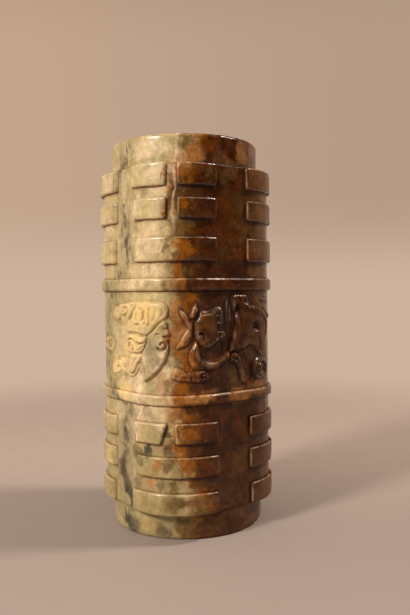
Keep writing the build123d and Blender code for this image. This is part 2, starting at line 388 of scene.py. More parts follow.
# The striding dragon of the front and back faces
striding_dragon = {
    "head": (
        (
            Form(
                (
                    (-20.2, 112.8), (-16, 113.2), (-13, 114), (-9.4, 115), (-6.8, 114.4),
                    (-6.2, 109), (-5.6, 104.6), (-5.2, 100.4), (-7, 99), (-9.6, 97.6),
                    (-12, 96), (-15, 94.4), (-18.4, 95.6), (-21, 98), (-22.6, 102), (-22, 107),
                ),
                1.25, 2.3,
            ),
            Form(
                (
                    (-21.6, 117), (-20.4, 113.6), (-20.8, 110.6), (-23.6, 109), (-25, 109.8),
                    (-24.2, 112.6),
                ),
                1.6, 1.7,
            ),
            Form(
                (
                    (-29.6, 114.4), (-27.4, 112.8), (-24.6, 109.8), (-23, 106.4), (-23.4, 102.6),
                    (-25.4, 104), (-27, 107.4), (-29.2, 111.6),
                ),
                1.3, 1.5,
            ),
        ),
        (
            Line(((-19.6, 111.2), (-15, 111.6), (-12.4, 112.2)), 1.1, 0.5),
            Line(((-22.2, 108.6), (-20.6, 107.8), (-18, 108.4)), 1.0, -0.35),
            Hollow((-21, 111), 1.1, 1.7, 1.1),
            Line(((-9.6, 112.4), (-9.4, 106), (-9.6, 101.8)), 4.2, 0.95),
            Hollow((-9.8, 113), 1.3, 0.6, -0.6),
            Hollow((-9.8, 110.3), 1.5, 0.5, -1.0),
            Hollow((-9.4, 106.6), 1.2, 0.55, -0.9),
            Hollow((-12.2, 103.2), 1.0, 0.6, -0.7),
            Line(((-7.2, 113.6), (-6.9, 107), (-6.4, 101.6)), 0.8, -0.45),
            Hollow((-12.4, 97.6), 0.8, 1.2, -0.6),
            Hollow((-9.6, 98.8), 0.9, 0.7, -0.5),
            Hollow((-6.4, 100.9), 0.7, 0.7, -0.9),
            Hollow((-7.9, 99.7), 0.6, 0.55, -0.7),
            Hollow((-11, 98.4), 0.7, 0.6, -0.8),
            Hollow((-14.6, 96.2), 0.9, 0.6, -0.7),
            Line(((-17, 97.6), (-15.4, 96), (-14.4, 97)), 1.0, 0.8),
            Hollow((-19.3, 99.9), 1.0, 0.8, -0.7),
            Hollow((-19.4, 96.6), 1.1, 0.5, -0.5),
            Line(((-20.6, 102), (-18.4, 101.4), (-17.6, 98.4)), 1.0, 0.9),
            Line(((-21.9, 116.6), (-23.2, 113.4), (-24.2, 110.6)), 0.9, -0.35),
            Line(((-28.8, 113.4), (-26.6, 111.6), (-24.8, 109.4)), 0.8, -0.4),
        ),
    ),
    "ear": (
        (
            Form(
                (
                    (-24.6, 106), (-27, 103), (-29.4, 99.2), (-31.6, 94.6), (-28, 95.2),
                    (-25.2, 97.2), (-23.6, 100.4), (-23.4, 103.6),
                ),
                1.5, 2.0,
            ),
        ),
        (
            Line(((-25.2, 104.6), (-27.4, 101), (-30, 96.4)), 1.2, -0.4),
            Line(((-24.4, 101), (-25.6, 98.6), (-27.6, 96.8)), 1.0, 0.5),
        ),
    ),
    "body": (
        (
            Form(
                (
                    (-21.6, 99), (-23.6, 96), (-25.2, 92.8), (-25.2, 88.6), (-23.6, 85.4),
                    (-20.4, 84), (-15, 83.6), (-9, 84.6), (-5, 87), (-2.4, 90), (-3.4, 92.6),
                    (-6.4, 91.2), (-9.6, 89.2), (-13, 88), (-16.6, 88.2), (-18.8, 89.8),
                    (-19.8, 92.8), (-20, 96),
                ),
                1.5, 1.9,
            ),
        ),
        (
            Line(((-23.4, 96), (-24.7, 92.6), (-24.4, 88.6), (-23, 85.6)), 0.9, -0.3),
            Line(((-22, 95), (-22.6, 91), (-21.4, 87)), 1.0, 0.3),
            Line(((-19, 90.4), (-17.4, 88.2), (-14, 87.2), (-10, 87.8), (-6, 89.8)), 1.0, -0.5),
            Line(((-20.4, 85.8), (-17, 84.7), (-12.6, 84.6), (-8.6, 85.6), (-5, 87.8)), 3.0, 0.9),
        ),
    ),
    "haunch": (
        (
            Form(
                (
                    (-1.6, 118.6), (0.4, 121), (5, 121.2), (9, 120.8), (10, 118), (11, 115.4),
                    (16, 114.8), (20, 113.2), (24.4, 111.2), (26.6, 107), (26, 102.4), (24.4, 98),
                    (23, 92), (21, 89.6), (17.6, 89.4), (14.6, 92.4), (12, 94.6), (9, 94.4),
                    (6.6, 93), (3, 92.8), (-0.6, 92.2), (-3, 92.2), (-2, 98),
                    (0.4, 103.6), (1.4, 108),
                ),
                1.35, 1.6,
            ),
            Form(((-5.2, 117.2), (-1.6, 117.4), (-0.8, 112), (-1.2, 108), (-5, 107.6)), 0.3, 1.6),
            Form(((20.6, 118.8), (27, 118.8), (30, 116.6), (26, 116.6), (21, 117)), 0.5, 0.9),
            Form(((21, 113.8), (26, 112), (31, 110.4), (33, 108), (30, 108.6), (24, 111)), 0.9, 0.9),
        ),
        (
            Line(((2.8, 117), (2, 113.6), (1.2, 109.4)), 1.7, 1.3),
            Hollow((7.6, 117.6), 1.5, 1.6, 1.1),
            Line(((6, 115.8), (8.2, 115.2), (10.2, 115.4)), 0.8, -0.35),
            Line(((11, 114.7), (16, 114.2), (20, 112.4), (23.4, 109.8)), 0.9, -0.35),
            Hollow((14.2, 104.3), 2.4, 2.5, 1.6),
            Line(((11.4, 104.6), (12.4, 107.4), (15, 107.8), (17.6, 105)), 0.9, -0.3),
            Line(((12, 102), (14.6, 100.9), (17.4, 102)), 1.0, -0.6),
            Line(((4, 103), (5.4, 100.6), (8.6, 99.2), (12.6, 98.8)), 1.8, 0.35),
            Line(((12.6, 98.8), (11, 96), (8.4, 93.6)), 1.6, 0.3),
            Line(((16, 110), (20, 109), (23.4, 105), (22.6, 99), (21.6, 93)), 1.8, 0.6),
            Line(((0.6, 106), (2.4, 100), (3.4, 95)), 1.2, 0.3),
            Line(((16, 100), (17, 96), (16.4, 92)), 1.6, 0.4),
        ),
    ),
    "claw": (
        (
            Form(
                (
                    (-2, 90), (-0.6, 92), (1.6, 92), (3.8, 89.8), (5.2, 86.4), (7, 82.4),
                    (8.6, 79), (7.6, 76), (5, 76.4), (4, 80), (2.6, 84), (0.6, 86.2), (-1.8, 87),
                ),
                1.4, 1.6,
            ),
        ),
        (
            Hollow((-0.5, 89.1), 0.6, 1.0, 1.0),
            Hollow((1.6, 88.6), 0.7, 0.8, 0.9),
            Line(((0.4, 91.2), (2.6, 90), (4.2, 87), (5.6, 84)), 0.8, -0.35),
            Line(((4.4, 80.8), (5.6, 78.6), (7, 78.6)), 1.0, 0.5),
        ),
    ),
    "tail": (
        (
            Form(
                (
                    (12.4, 82.6), (13.2, 85.8), (16, 87.9), (20, 88.4), (24.4, 87.2), (27, 84.4),
                    (27, 81), (24.6, 78.2), (21, 76.9), (16.6, 77), (13.6, 79.2),
                ),
                1.0, 1.9,
            ),
        ),
        (
            Curl((19.4, 82.5), 4.9, 1.9, 120, 1.3, 0.8),
            Hollow((19.2, 82.3), 1.2, 0.8, 0.5),
            Line(((16.2, 79.6), (19.4, 78.6), (23, 79.4)), 0.9, -0.3),
        ),
    ),
    "paw": (
        (
            Form(
                (
                    (-33.4, 82), (-31.6, 86), (-28.8, 85.4), (-26, 83.4), (-23, 83.8),
                    (-20, 84.4), (-17, 84.2), (-15, 82), (-15.6, 79.2), (-19, 78), (-25, 78.4),
                    (-30, 79), (-33, 80),
                ),
                1.35, 1.8,
            ),
        ),
        (
            Curl((-18.3, 81.2), 2.5, 1.4, 200, 1.0, 1.0),
            Line(((-28.4, 84.8), (-25.6, 83.4), (-23.4, 81.6)), 0.8, -0.5),
            Line(((-26.6, 82.6), (-24.4, 81.4), (-23.6, 79.2)), 1.0, 0.7),
            Hollow((-30.8, 81.2), 1.2, 1.0, 0.4),
            Hollow((-27, 80.6), 1.6, 0.9, 0.35),
            Line(((-33, 82), (-31.6, 85)), 0.9, -0.3),
        ),
    ),
}

# Places where the ground itself is sunk deeper, beside the striding dragon
sunk_ground = (
    Form(
        (
            (-20, 95.6), (-19.6, 91), (-18.4, 89), (-15, 87.6), (-11, 88), (-7, 90),
            (-3.6, 92.6), (-3, 96), (-6, 98.6), (-9.6, 97), (-13, 95), (-17, 94.6),
        ),
        0.75, 1.2,
    ),
    Form(((10, 86), (13.4, 85.4), (13.2, 80), (11.6, 76.4), (9.4, 78)), 0.6, 1.4),
    Form(((-5.6, 91), (-4.8, 99), (-2.4, 106.4), (-0.2, 107), (-1.6, 100), (-3, 91)), 0.9, 1.0),
)

# Place where the ground swells instead, as the neck of the coiled dragon
raised_neck = (
    Form(
        (
            (-8, 104), (-3, 106), (2, 105.6), (5.6, 102.6), (5.6, 96), (7.2, 91), (4, 90.4),
            (-2, 90.4), (-7, 92), (-9, 97),
        ),
        -0.35, 3.0,
    ),
)
face_carvings = {
    "front": striding_dragon,
    "right": coiled_dragon,
    "back": striding_dragon,
    "left": coiled_dragon,
}

# Trigrams read downwards at each corner: a broken line has a gap in its middle
broken_bars = {
    "upper_front_left": ("top", "middle"),
    "upper_back_left": ("bottom",),
    "upper_back_right": ("middle",),
    "upper_front_right": ("top", "middle", "bottom"),
    "lower_front_left": ("top",),
    "lower_back_left": (),
    "lower_back_right": ("top", "bottom"),
    "lower_front_right": ("middle", "bottom"),
}
corner_numbers = {"front_left": 0, "front_right": 1, "back_right": 2, "back_left": 3}
bar_rows = ("top", "middle", "bottom")

# Where bars end short of or past the usual strip, in mm along: left end, right end, and how long
# the left and right ends fade into the ground
bar_ends = {
    "upper_front_left_bar_top": (2.3, -0.5, 1.5, 0),
    "upper_front_left_bar_middle": (3.6, -0.6, 2.5, 0),
    "upper_front_left_bar_bottom": (3.0, -0.4, 6, 0),
    "lower_front_left_bar_top": (2.6, -0.9, 1.5, 0),
    "lower_front_left_bar_middle": (3.4, -0.5, 6, 0),
    "lower_front_left_bar_bottom": (0.5, -0.7, 1, 0),
    "upper_front_right_bar_top": (-0.8, 0, 0, 0),
    "upper_front_right_bar_middle": (-0.5, 0, 0, 0),
    "upper_front_right_bar_bottom": (-0.6, 0, 0, 0),
    "lower_front_right_bar_top": (0.6, 0, 0, 0),
    "lower_front_right_bar_middle": (0.4, 0, 0, 0),
    "lower_front_right_bar_bottom": (1.2, 0, 0, 0),
    "upper_back_left_bar_top": (0, 8.2, 0, 2),
    "upper_back_left_bar_middle": (0, 7.0, 0, 3),
    "upper_back_left_bar_bottom": (0, 5.4, 0, 2),
    "lower_back_left_bar_top": (0, 3.8, 0, 3),
    "lower_back_left_bar_middle": (0, 3.4, 0, 3),
    "lower_back_left_bar_bottom": (0, 1.8, 0, 1),
}
# The gap of a broken bar at the photographed corner: left and right side, top and bottom, from
# the corner
front_gaps = {
    "upper_front_left_bar_top": (-1.4, -1.6, 4.0, 4.0),
    "upper_front_left_bar_middle": (-1.2, -1.6, 4.2, 3.8),
    "lower_front_left_bar_top": (-2.2, -5.6, 1.6, 2.0),
}


def sizes():
    """The sizes that the user may change."""
    return bpy.context.scene.jade_cong_sizes


def finishes():
    """The colours and polish that the user may change."""
    return bpy.context.scene.jade_cong_finishes


def flat_sheet(bm, low, high, cell):
    """Cut a flat sheet of square cells between two corners, in mm."""
    across, up = high[0] - low[0], high[1] - low[1]
    made = bmesh.ops.create_grid(
        bm, x_segments=max(2, round(across / cell)), y_segments=max(2, round(up / cell)), size=0.5
    )
    bmesh.ops.scale(bm, vec=Vector((across, up, 1)), verts=made["verts"])
    centre = Vector(((low[0] + high[0]) / 2, (low[1] + high[1]) / 2, 0))
    bmesh.ops.translate(bm, vec=centre, verts=made["verts"])


def give_thickness(bm, thickness):
    """Close a flat sheet into a slab, its new face at the given height."""
    grown = bmesh.ops.extrude_face_region(bm, geom=bm.faces[:])
    moved = [part for part in grown["geom"] if isinstance(part, bmesh.types.BMVert)]
    bmesh.ops.translate(bm, vec=Vector((0, 0, thickness)), verts=moved)
    bmesh.ops.recalc_face_normals(bm, faces=bm.faces)


def read_points(mesh):
    """The mesh's points as columns along, height and proud."""
    flat = np.zeros(len(mesh.vertices) * 3)
    mesh.vertices.foreach_get("co", flat)
    return flat.reshape(-1, 3).T


def set_in_place(mesh, points, grime, wear=None, aged=None):
    """Put the points on the stone, in metres, with soiling and painted shade, rubbing and painted
    highlight, and ageing as attributes.
    """
    mesh.vertices.foreach_set("co", (np.asarray(points) * mm).ravel())
    for name, values in (("grime", grime), ("wear", wear), ("aged", aged)):
        layer = mesh.attributes.new(name, "FLOAT", "POINT")
        values = grime * 0 if values is None else values
        layer.data.foreach_set("value", np.clip(values, 0, 1).astype(np.float32))
    mesh.update()


def add_piece(node, mesh, slot):
    """Show a finished mesh in place of its CAD node."""
    for polygon in mesh.polygons:
        polygon.use_smooth = True
    mesh.materials.append(jade(slot))
    piece = bpy.data.objects.new(f"carved_{node}", mesh)
    bpy.context.scene.collection.objects.link(piece)
    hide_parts(node)
    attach(piece, "root")


def mesh_from(bm, name):
    """A mesh with what was modelled in bmesh."""
    mesh = bpy.data.meshes.new(name)
    bm.to_mesh(mesh)
    bm.free()
    return mesh


def close_seams(mesh):
    """Merge the two ends of a rolled sheet and turn its faces outwards."""
    bm = bmesh.new()
    bm.from_mesh(mesh)
    bmesh.ops.remove_doubles(bm, verts=bm.verts, dist=near_nought * mm)
    bmesh.ops.recalc_face_normals(bm, faces=bm.faces)
    bm.to_mesh(mesh)
    bm.free()


# A row this close to a ring's end, in mm, keeps its smooth shading straight up to its neighbour
end_row = 0.05

# Shares of the way to the bore at which a ring's flat ends have a row
end_shares = (0.1, 0.5, 1.0)
edge_rows = 5
bore_rows = 6


def ring_profile(low, high, proud, edge, cell):
    """Rows of a ring's section, bore and back: height, proud and share of the way to the bore."""
    turn = np.linspace(0, math.pi / 2, edge_rows)
    rows = [(low, proud - edge, share) for share in reversed(end_shares)]
    rows += [
        (low + edge * (1 - math.cos(angle)), proud - edge * (1 - math.sin(angle)), 0)
        for angle in turn
    ]
    wall = max(2, round((high - low - 2 * edge) / cell))
    rows += [(z, proud, 0) for z in np.linspace(low + edge, high - edge, wall + 1)[1:-1]]
    rows += [
        (high - edge * (1 - math.sin(angle)), proud - edge * (1 - math.cos(angle)), 0)
        for angle in turn
    ]
    rows += [(high, proud - edge, share) for share in end_shares]
    between = np.linspace(high, low, bore_rows)[1:-1]
    inner = np.concatenate(([high - end_row], between, [low + end_row, low]))
    rows += [(z, proud - edge, 1.0) for z in inner]
    return np.array(rows)


def rolled_ring(name, low, high, proud, edge, cell):
    """A ring of the rounded square section round the bore, as a sheet rolled shut both ways.
    Returns the mesh with its flat columns: along, height, proud and the share of the bore."""
    profile = ring_profile(low, high, proud, edge, cell)
    rows = len(profile) - 1
    columns = round(whole_girth / cell)
    bm = bmesh.new()
    bmesh.ops.create_grid(bm, x_segments=columns, y_segments=rows, size=0.5)
    mesh = mesh_from(bm, name)
    x, y, _ = read_points(mesh)
    row = np.clip(np.round((y + 0.5) * rows).astype(int), 0, rows)
    along = (x + 0.5) * whole_girth - corner_along
    return mesh, along, profile[row, 0], profile[row, 1], profile[row, 2]


def ring_points(along, height, proud, share):
    """Points between the wrapped outside and the round bore."""
    outside = wrap(along, height, proud)
    spread = np.hypot(outside[:, 0], outside[:, 1])
    bore = outside * np.array([1, 1, 0]) * (bore_radius / spread)[:, None]
    bore[:, 2] = height
    return outside * (1 - share)[:, None] + bore * share[:, None]


Bar = namedtuple("Bar", "name centre left right bottom top gap fades")

# Gap of a broken bar at the corners that the photograph doesn't show, laid out as front_gaps
usual_gap = (-2.7, -2.7, 2.7, 2.7)


def tier_bars(tier):
    """Flat outlines of one tier's bars."""
    bars = []
    for corner, number in corner_numbers.items():
        centre = (number - 0.5) * face_girth
        for row in bar_rows:
            name = f"{tier}_{corner}_bar_{row}"
            bottom, top = node_heights(name)
            left_trim, right_trim, *fades = bar_ends.get(name, (0, 0, 0, 0))
            left = centre - corner_along + strip_half + left_trim
            right = centre + corner_along - strip_half + right_trim
            broken = row in broken_bars[f"{tier}_{corner}"]
            gap = front_gaps.get(name, usual_gap) if broken else None
            bars.append(Bar(name, centre, left, right, bottom, top, gap, fades))
    return bars


def bar_slabs(bar):
    """The one or two slabs of a bar: each has left and right ends, at its top and its bottom."""
    left, right = bar.left, bar.right
    if bar.gap is None:
        return [(left, left, right, right)]
    gap = [bar.centre + place for place in bar.gap]
    return [(left, left, gap[0], gap[1]), (gap[2], gap[3], right, right)]


def add_ring(name, mesh, along, height, proud, share, grime, wear=None):
    """Bend a rolled sheet round the bore, close it and show it in place of its node."""
    set_in_place(mesh, ring_points(along, height, proud, share), grime, wear)
    close_seams(mesh)
    add_piece(name, mesh, "mottled_jade")


# How far hand work leaves each piece from true, and how far use has rubbed it down, in mm
tier_waver = 0.14
tier_sink = 0.05
band_waver = 0.07
band_rubbed = 0.16
frieze_waver = 0.16
dragon_waver = 0.12
bar_waver = 0.07
bar_end_waver = 0.1
bar_rubbed = 0.12
collar_rubbed = 0.18
collar_rim_rubbed = 0.1
mouth_sag = 0.2

# Roundness of the grounds' edges and size of their cells, in mm
ground_edge = 0.25
ground_cell = 0.5

# Soiling and painted shade reach further under a bar, as a painted shadow, than above or
# beside it, and lie along the tier's two ends, in mm
dirt_and_shade_under = 1.3
dirt_and_shade_beside = 0.55
dirt_and_shade_at_ends = 0.7


def carve_tier(name, tier):
    """The sunk ground of one tier, darker with soiling and painted shade where the bars rise from
    it, most of all under them as a painted shadow, and along its two ends.
    """
    low, high = node_heights(name)
    mesh, along, height, proud, share = rolled_ring(name, low, high, 0.0, ground_edge, ground_cell)
    outer = share < near_nought
    proud = proud + np.where(outer, tier_waver * unevenness(along, height) - tier_sink, 0)
    grime = np.maximum(0.8 * bell(height - low, dirt_and_shade_at_ends), bell(height - high, dirt_and_shade_at_ends))

    # Where the girth starts anew must lie well away from the bar that is looked at
    back_off = whole_girth / 4
    for bar in tier_bars(tier):
        for left_top, left_low, right_top, right_low in bar_slabs(bar):
            around = np.remainder(along - left_top + back_off, whole_girth) - back_off + left_top
            lean = np.clip((bar.top - height) / (bar.top - bar.bottom), 0, 1)
            left = left_top + (left_low - left_top) * lean
            right = right_top + (right_low - right_top) * lean
            beside = np.maximum(np.maximum(left - around, around - right), 0)
            beyond = np.maximum(np.maximum(bar.bottom - height, height - bar.top), 0)
            # Painted shadow: the darkening reaches further below a bar than beside it
            reach = np.where(height < bar.bottom, dirt_and_shade_under, dirt_and_shade_beside)
            grime = np.maximum(grime, bell(np.hypot(beside, beyond), reach))
    add_ring(name, mesh, along, height, proud, share, grime * outer)


band_cell = 0.45


def carve_band(name, drift):
    """A plain raised band, not quite level round the stone: darker at its foot with soiling and
    painted shade, and paler along its rubbed top edge, which also stands for a painted highlight.
    """
    low, high = node_heights(name)
    edge = 1.3 * sizes().edge_wear / mm
    mesh, along, height, proud, share = rolled_ring(name, low, high, block_proud, edge, band_cell)
    outer = share < near_nought
    raised = np.clip(proud / block_proud, 0, 1) * outer
    height = height + raised * drift * np.sin(2 * math.pi * along / whole_girth + low)
    height = height + raised * band_waver * unevenness(along, height * 0 + low)
    proud = proud - raised * band_rubbed * patches(along, height, 0.5, 0.5)
    # Darker where the band falls to its ground: soiling and painted shade in the crease
    grime = np.where(outer, np.clip(1 - proud / 0.9, 0, 1), 0)
    # A paler line along the top edge: rubbed stone and a painted highlight along it
    top_edge = np.clip(1 - abs(high - 0.3 * edge - height) / (0.6 * edge), 0, 1)
    wear = patches(along * 2.3, height * 0 + high, 0.5, 0.9, 0.1) * top_edge * (proud > 0.5)
    add_ring(name, mesh, along, height, proud, share, grime, wear)


frieze_edge = 0.2

# Soiling and painted shade beside the dragons, in mm, and its share on the pale faces
dirt_and_shade_at_dragons = 0.7
pale_faces = ("left", "back")
pale_face_dirt_and_shade_share = 0.55


def carve_frieze_ground():
    """The ground behind the dragons, sunk a little deeper beside the striding one."""
    name = "frieze_ground"
    low, high = node_heights(name)
    mesh, along, height, proud, share = rolled_ring(
        name, low, high, frieze_proud, frieze_edge, ground_cell
    )
    outer = share < near_nought
    proud = proud - outer * (sizes().ground_sink / mm)
    proud = proud + outer * frieze_waver * unevenness(along, height * 1.7)
    # Darker beside the bands and round the dragons' feet: soiling and painted shade in the creases
    grime = bell(height - high, 0.8) + 0.7 * bell(height - low, 0.6)
    for face, number in face_numbers.items():
        across = np.remainder(along - number * face_girth + 2 * face_girth, whole_girth)
        across = across - 2 * face_girth
        here = outer & (np.abs(across) < corner_along + 2)
        striding = face_carvings[face] is striding_dragon
        for form in sunk_ground if striding else raised_neck:
            depth = depth_inside(across[here], height[here], smooth_line(form.outline, True))
            proud[here] = proud[here] - form.proud * np.clip(depth / form.shoulder, 0, 1)
        face_dirt_and_shade_share = pale_face_dirt_and_shade_share if face in pale_faces else 1.0
        for forms, _ in face_carvings[face].values():
            for form in forms:
                depth = depth_inside(across[here], height[here], smooth_line(form.outline, True))
                grime[here] = np.maximum(grime[here], face_dirt_and_shade_share * bell(depth, dirt_and_shade_at_dragons))
    add_ring(name, mesh, along, height, proud, share, grime * outer)


# A dragon's sheet reaches this far past its outlines and this deep into its ground, in mm
dragon_margin = 1.0
dragon_foot = 1.4

# Where a form falls this far below its ground, in mm, its sheet is cut away
form_floor = -0.7


def carve_dragon_part(face, part):
    """One raised part of a dragon, cut from a fine sheet along its outlines."""
    pale = face in pale_faces
    forms, cuts = face_carvings[face][part]
    name = f"{face}_dragon_{part}"
    outlines = np.vstack([smooth_line(form.outline, closed=True) for form in forms])
    low = outlines.min(axis=0) - dragon_margin
    high = outlines.max(axis=0) + dragon_margin
    bm = bmesh.new()
    flat_sheet(bm, low, high, sizes().carving_cell / mm)
    flat = np.array([vert.co[:2] for vert in bm.verts])
    top, _ = carved_height(flat[:, 0], flat[:, 1], forms, cuts)
    outside = [vert for vert, level in zip(bm.verts, top) if level < form_floor]
    bmesh.ops.delete(bm, geom=outside, context="VERTS")
    give_thickness(bm, 1.0)
    mesh = mesh_from(bm, name)
    across, height, level = read_points(mesh)
    on_face = level > 0.5
    top, rim = carved_height(across, height, forms, cuts)
    ground = frieze_proud - sizes().ground_sink / mm
    hand = unevenness(across * 2.3 + 31 * face_numbers[face], height * 2.1)
    lifted = ground + sizes().relief_height / mm * np.maximum(top, form_floor)
    lifted = lifted + dragon_waver * hand * np.clip(top, 0, 1)
    proud = np.where(on_face, np.minimum(lifted, block_proud - 0.02), ground - dragon_foot)
    along = across + face_numbers[face] * face_girth
    patchy = patches(across * 4.3, height * 3.1, 0.45, 0.8)
    # Darker in the cut lines and at the forms' feet: soiling and painted shade in the hollows
    grime = sum(np.clip(cut_depth(cut, across, height), 0, None) for cut in cuts)
    foot = bell(np.clip(top, 0, None), 0.35)
    if pale:
        grime = np.maximum(grime * 0.8, foot * (0.35 + 0.65 * patchy))
    else:
        grime = np.maximum(grime * 1.1, foot)
    # Paler round the forms' rims: rubbed stone that is also a painted highlight on the raised edges
    wear = (0.7 if pale else 0.45) * rim * patchy * on_face
    aged = (0.6 if pale and part != "head" else 0.0) * np.clip(top / 0.5, 0, 1)
    set_in_place(mesh, wrap(along, height, proud), grime, wear, aged)
    add_piece(name, mesh, "celadon_jade" if pale else "russet_jade")


# A bar's slab is cut in cells of this size and sunk this far into its ground, in mm, and its
# edges count as sharp past this angle, in radians
bar_cell = 1.1
bar_sunk = 0.5
sharp_angle = 1.0


def cut_slab(bar, slab, edge):
    """One flat slab of a bar, its upper edges rounded by a bevel."""
    bm = bmesh.new()
    flat_sheet(bm, (slab[0], bar.bottom), (slab[2], bar.top), bar_cell)
    give_thickness(bm, block_proud + bar_sunk)
    rim = [
        rim_edge
        for rim_edge in bm.edges
        if rim_edge.calc_face_angle(0) > sharp_angle
        and max(vert.co.z for vert in rim_edge.verts) > near_nought
    ]
    bmesh.ops.bevel(
        bm, geom=rim, offset=edge, offset_type="OFFSET", segments=3, profile=0.5,
        affect="EDGES", material=-1,
    )
    return mesh_from(bm, "slab")


def carve_bar(bar):
    """A trigram bar: its slabs are cut flat, softened at the edges and wrapped round the corner."""
    edge = sizes().edge_wear / mm
    lean = np.random.default_rng(sum(ord(letter) for letter in bar.name))
    bm = bmesh.new()
    for slab in bar_slabs(bar):
        slab_mesh = cut_slab(bar, slab, edge)
        bm.from_mesh(slab_mesh)
        bpy.data.meshes.remove(slab_mesh)
    mesh = mesh_from(bm, bar.name)
    along, height, level = read_points(mesh)
    middle = (bar.bottom + bar.top) / 2
    downwards = 1 - np.clip((height - bar.bottom) / (bar.top - bar.bottom), 0, 1)
    for left_top, left_low, right_top, right_low in bar_slabs(bar):
        here = (along > left_top - near_nought) & (along < right_top + near_nought)
        share = np.clip((along - left_top) / (right_top - left_top), 0, 1)
        shift = (left_low - left_top) * (1 - share) + (right_low - right_top) * share
        along = along + here * shift * downwards

    # No bar is quite straight, level or sharp: each leans a little in its own way
    rise, tilt = lean.uniform(-0.15, 0.15), lean.uniform(-0.3, 0.3)
    from_centre = along - bar.centre
    height = middle + (height - middle) * (1 - 0.02 * np.sin(from_centre * 0.13 + rise * 9))
    height = height + bar_waver * unevenness(along, height * 0 + middle)
    height = height + tilt * from_centre / 60
    along = along + bar_end_waver * unevenness(height * 3 + bar.centre, height * 0)
    fade = np.ones(len(along))
    for length, inwards in zip(bar.fades, (along - bar.left, bar.right - along)):
        if length:
            fade = fade * np.clip(inwards / length + 0.25, 0, 1)
    face = block_proud - bar_rubbed * patches(along, height, 0.5, 0.6, high=1.4)
    thickness = block_proud + bar_sunk
    proud = np.clip(level / thickness, 0, 1) * (face * fade + bar_sunk) - bar_sunk

    # Darker low on the bar, most of all on its lower half: soiling and painted shade under the bar
    grime = np.clip(1.1 - proud / 0.7, 0, 1) * np.where(height < middle, 1, 0.6)
    # Paler along the top and end edges, little along the bottom one: rubbed stone and a painted
    # highlight where light from above catches them
    wear = np.clip(1 - abs((thickness - level) / edge - 0.5) / 0.5, 0, 1)
    wear = wear * patches(along * 2.9, height * 2.3, 0.6, 0.9, 0.1)
    wear = wear * np.where(height < bar.bottom + 1.5 * edge, 0.25, 1)
    set_in_place(mesh, wrap(along, height, np.minimum(proud, block_proud - 0.01)), grime, wear)
    pale = "_left_" in bar.name
    add_piece(bar.name, mesh, "celadon_jade" if pale else "russet_jade")


# Rounding of a collar's free end, outside and in the bore, in mm, and the segments of each. Its
# walls, the edges longer than long_wall, are cut into rows, and it is spun in steps
collar_round = (1.7, 5)
mouth_round = (1.0, 4)
long_wall = 5
wall_cuts = 14
collar_steps = 240

# How far from a collar's free end the extra wear reaches, in mm
worn_rim = 5


def round_corner(bm, corner, size, segments):
    """Round one corner of a flat section."""
    bmesh.ops.bevel(
        bm, geom=[corner], offset=size, offset_type="OFFSET", segments=segments, profile=0.5,
        affect="VERTICES", material=-1,
    )


def carve_collar(name, rim_up):
    """A plain round collar: its section is drawn once and spun round the bore."""
    low, high = node_heights(name)
    near, far = (low, high) if rim_up else (high, low)
    radius = half_width(name)
    bm = bmesh.new()
    places = ((bore_radius, low), (radius, low), (radius, high), (bore_radius, high))
    corners = [bm.verts.new((across, 0, up)) for across, up in places]
    bm.faces.new(corners)
    outside, inside = (corners[2], corners[3]) if rim_up else (corners[1], corners[0])
    round_corner(bm, outside, *collar_round)
    round_corner(bm, inside, *mouth_round)
    long_edges = [edge for edge in bm.edges if edge.calc_length() > long_wall]
    bmesh.ops.subdivide_edges(bm, edges=long_edges, cuts=wall_cuts)
    for wall in (bore_radius, radius):
        upright = [vert for vert in bm.verts if abs(vert.co.x - wall) < near_nought]
        upright.sort(key=lambda vert: abs(vert.co.z - near))
        upright[1].co.z = near + math.copysign(end_row, far - near)
    bmesh.ops.delete(bm, geom=bm.faces[:], context="FACES_ONLY")
    bmesh.ops.spin(
        bm, geom=bm.verts[:] + bm.edges[:], cent=(0, 0, 0), axis=(0, 0, 1), dvec=(0, 0, 0),
        angle=2 * math.pi, steps=collar_steps, use_merge=True,
    )
    bmesh.ops.remove_doubles(bm, verts=bm.verts, dist=0.001)
    bmesh.ops.recalc_face_normals(bm, faces=bm.faces)
    mesh = mesh_from(bm, name)
    x, y, height = read_points(mesh)
    spread = np.hypot(x, y)
    turn = np.arctan2(y, x)
    along = turn / (2 * math.pi) * whole_girth
    outer = np.clip((spread - bore_radius) / (radius - bore_radius), 0, 1)
    rim_share = np.clip(1 - abs(height - far) / worn_rim, 0, 1)
    rubbed = collar_rubbed + collar_rim_rubbed * rim_share
    spread = spread - outer * patches(along, height, 0.5, 0.5) * rubbed
    if rim_up:
        sag = patches(along * 2, height * 0, 0.5, 0.6)
        height = height - mouth_sag * outer * rim_share * sag
    points = np.stack([spread * np.cos(turn), spread * np.sin(turn), height], axis=-1)
    # Darker where the collar meets the tier: soiling and painted shade in the crease
    set_in_place(mesh, points, bell(height - near, 0.8) * (spread > radius - 1))
    add_piece(name, mesh, "mottled_jade")


def linear(colour):
    """An sRGB colour of 0 to 255 as the shader's linear one."""
    shares = [channel / 255 for channel in colour]
    return tuple(c / 12.92 if c <= 0.04045 else ((c + 0.055) / 1.055) ** 2.4 for c in shares) + (1.0,)


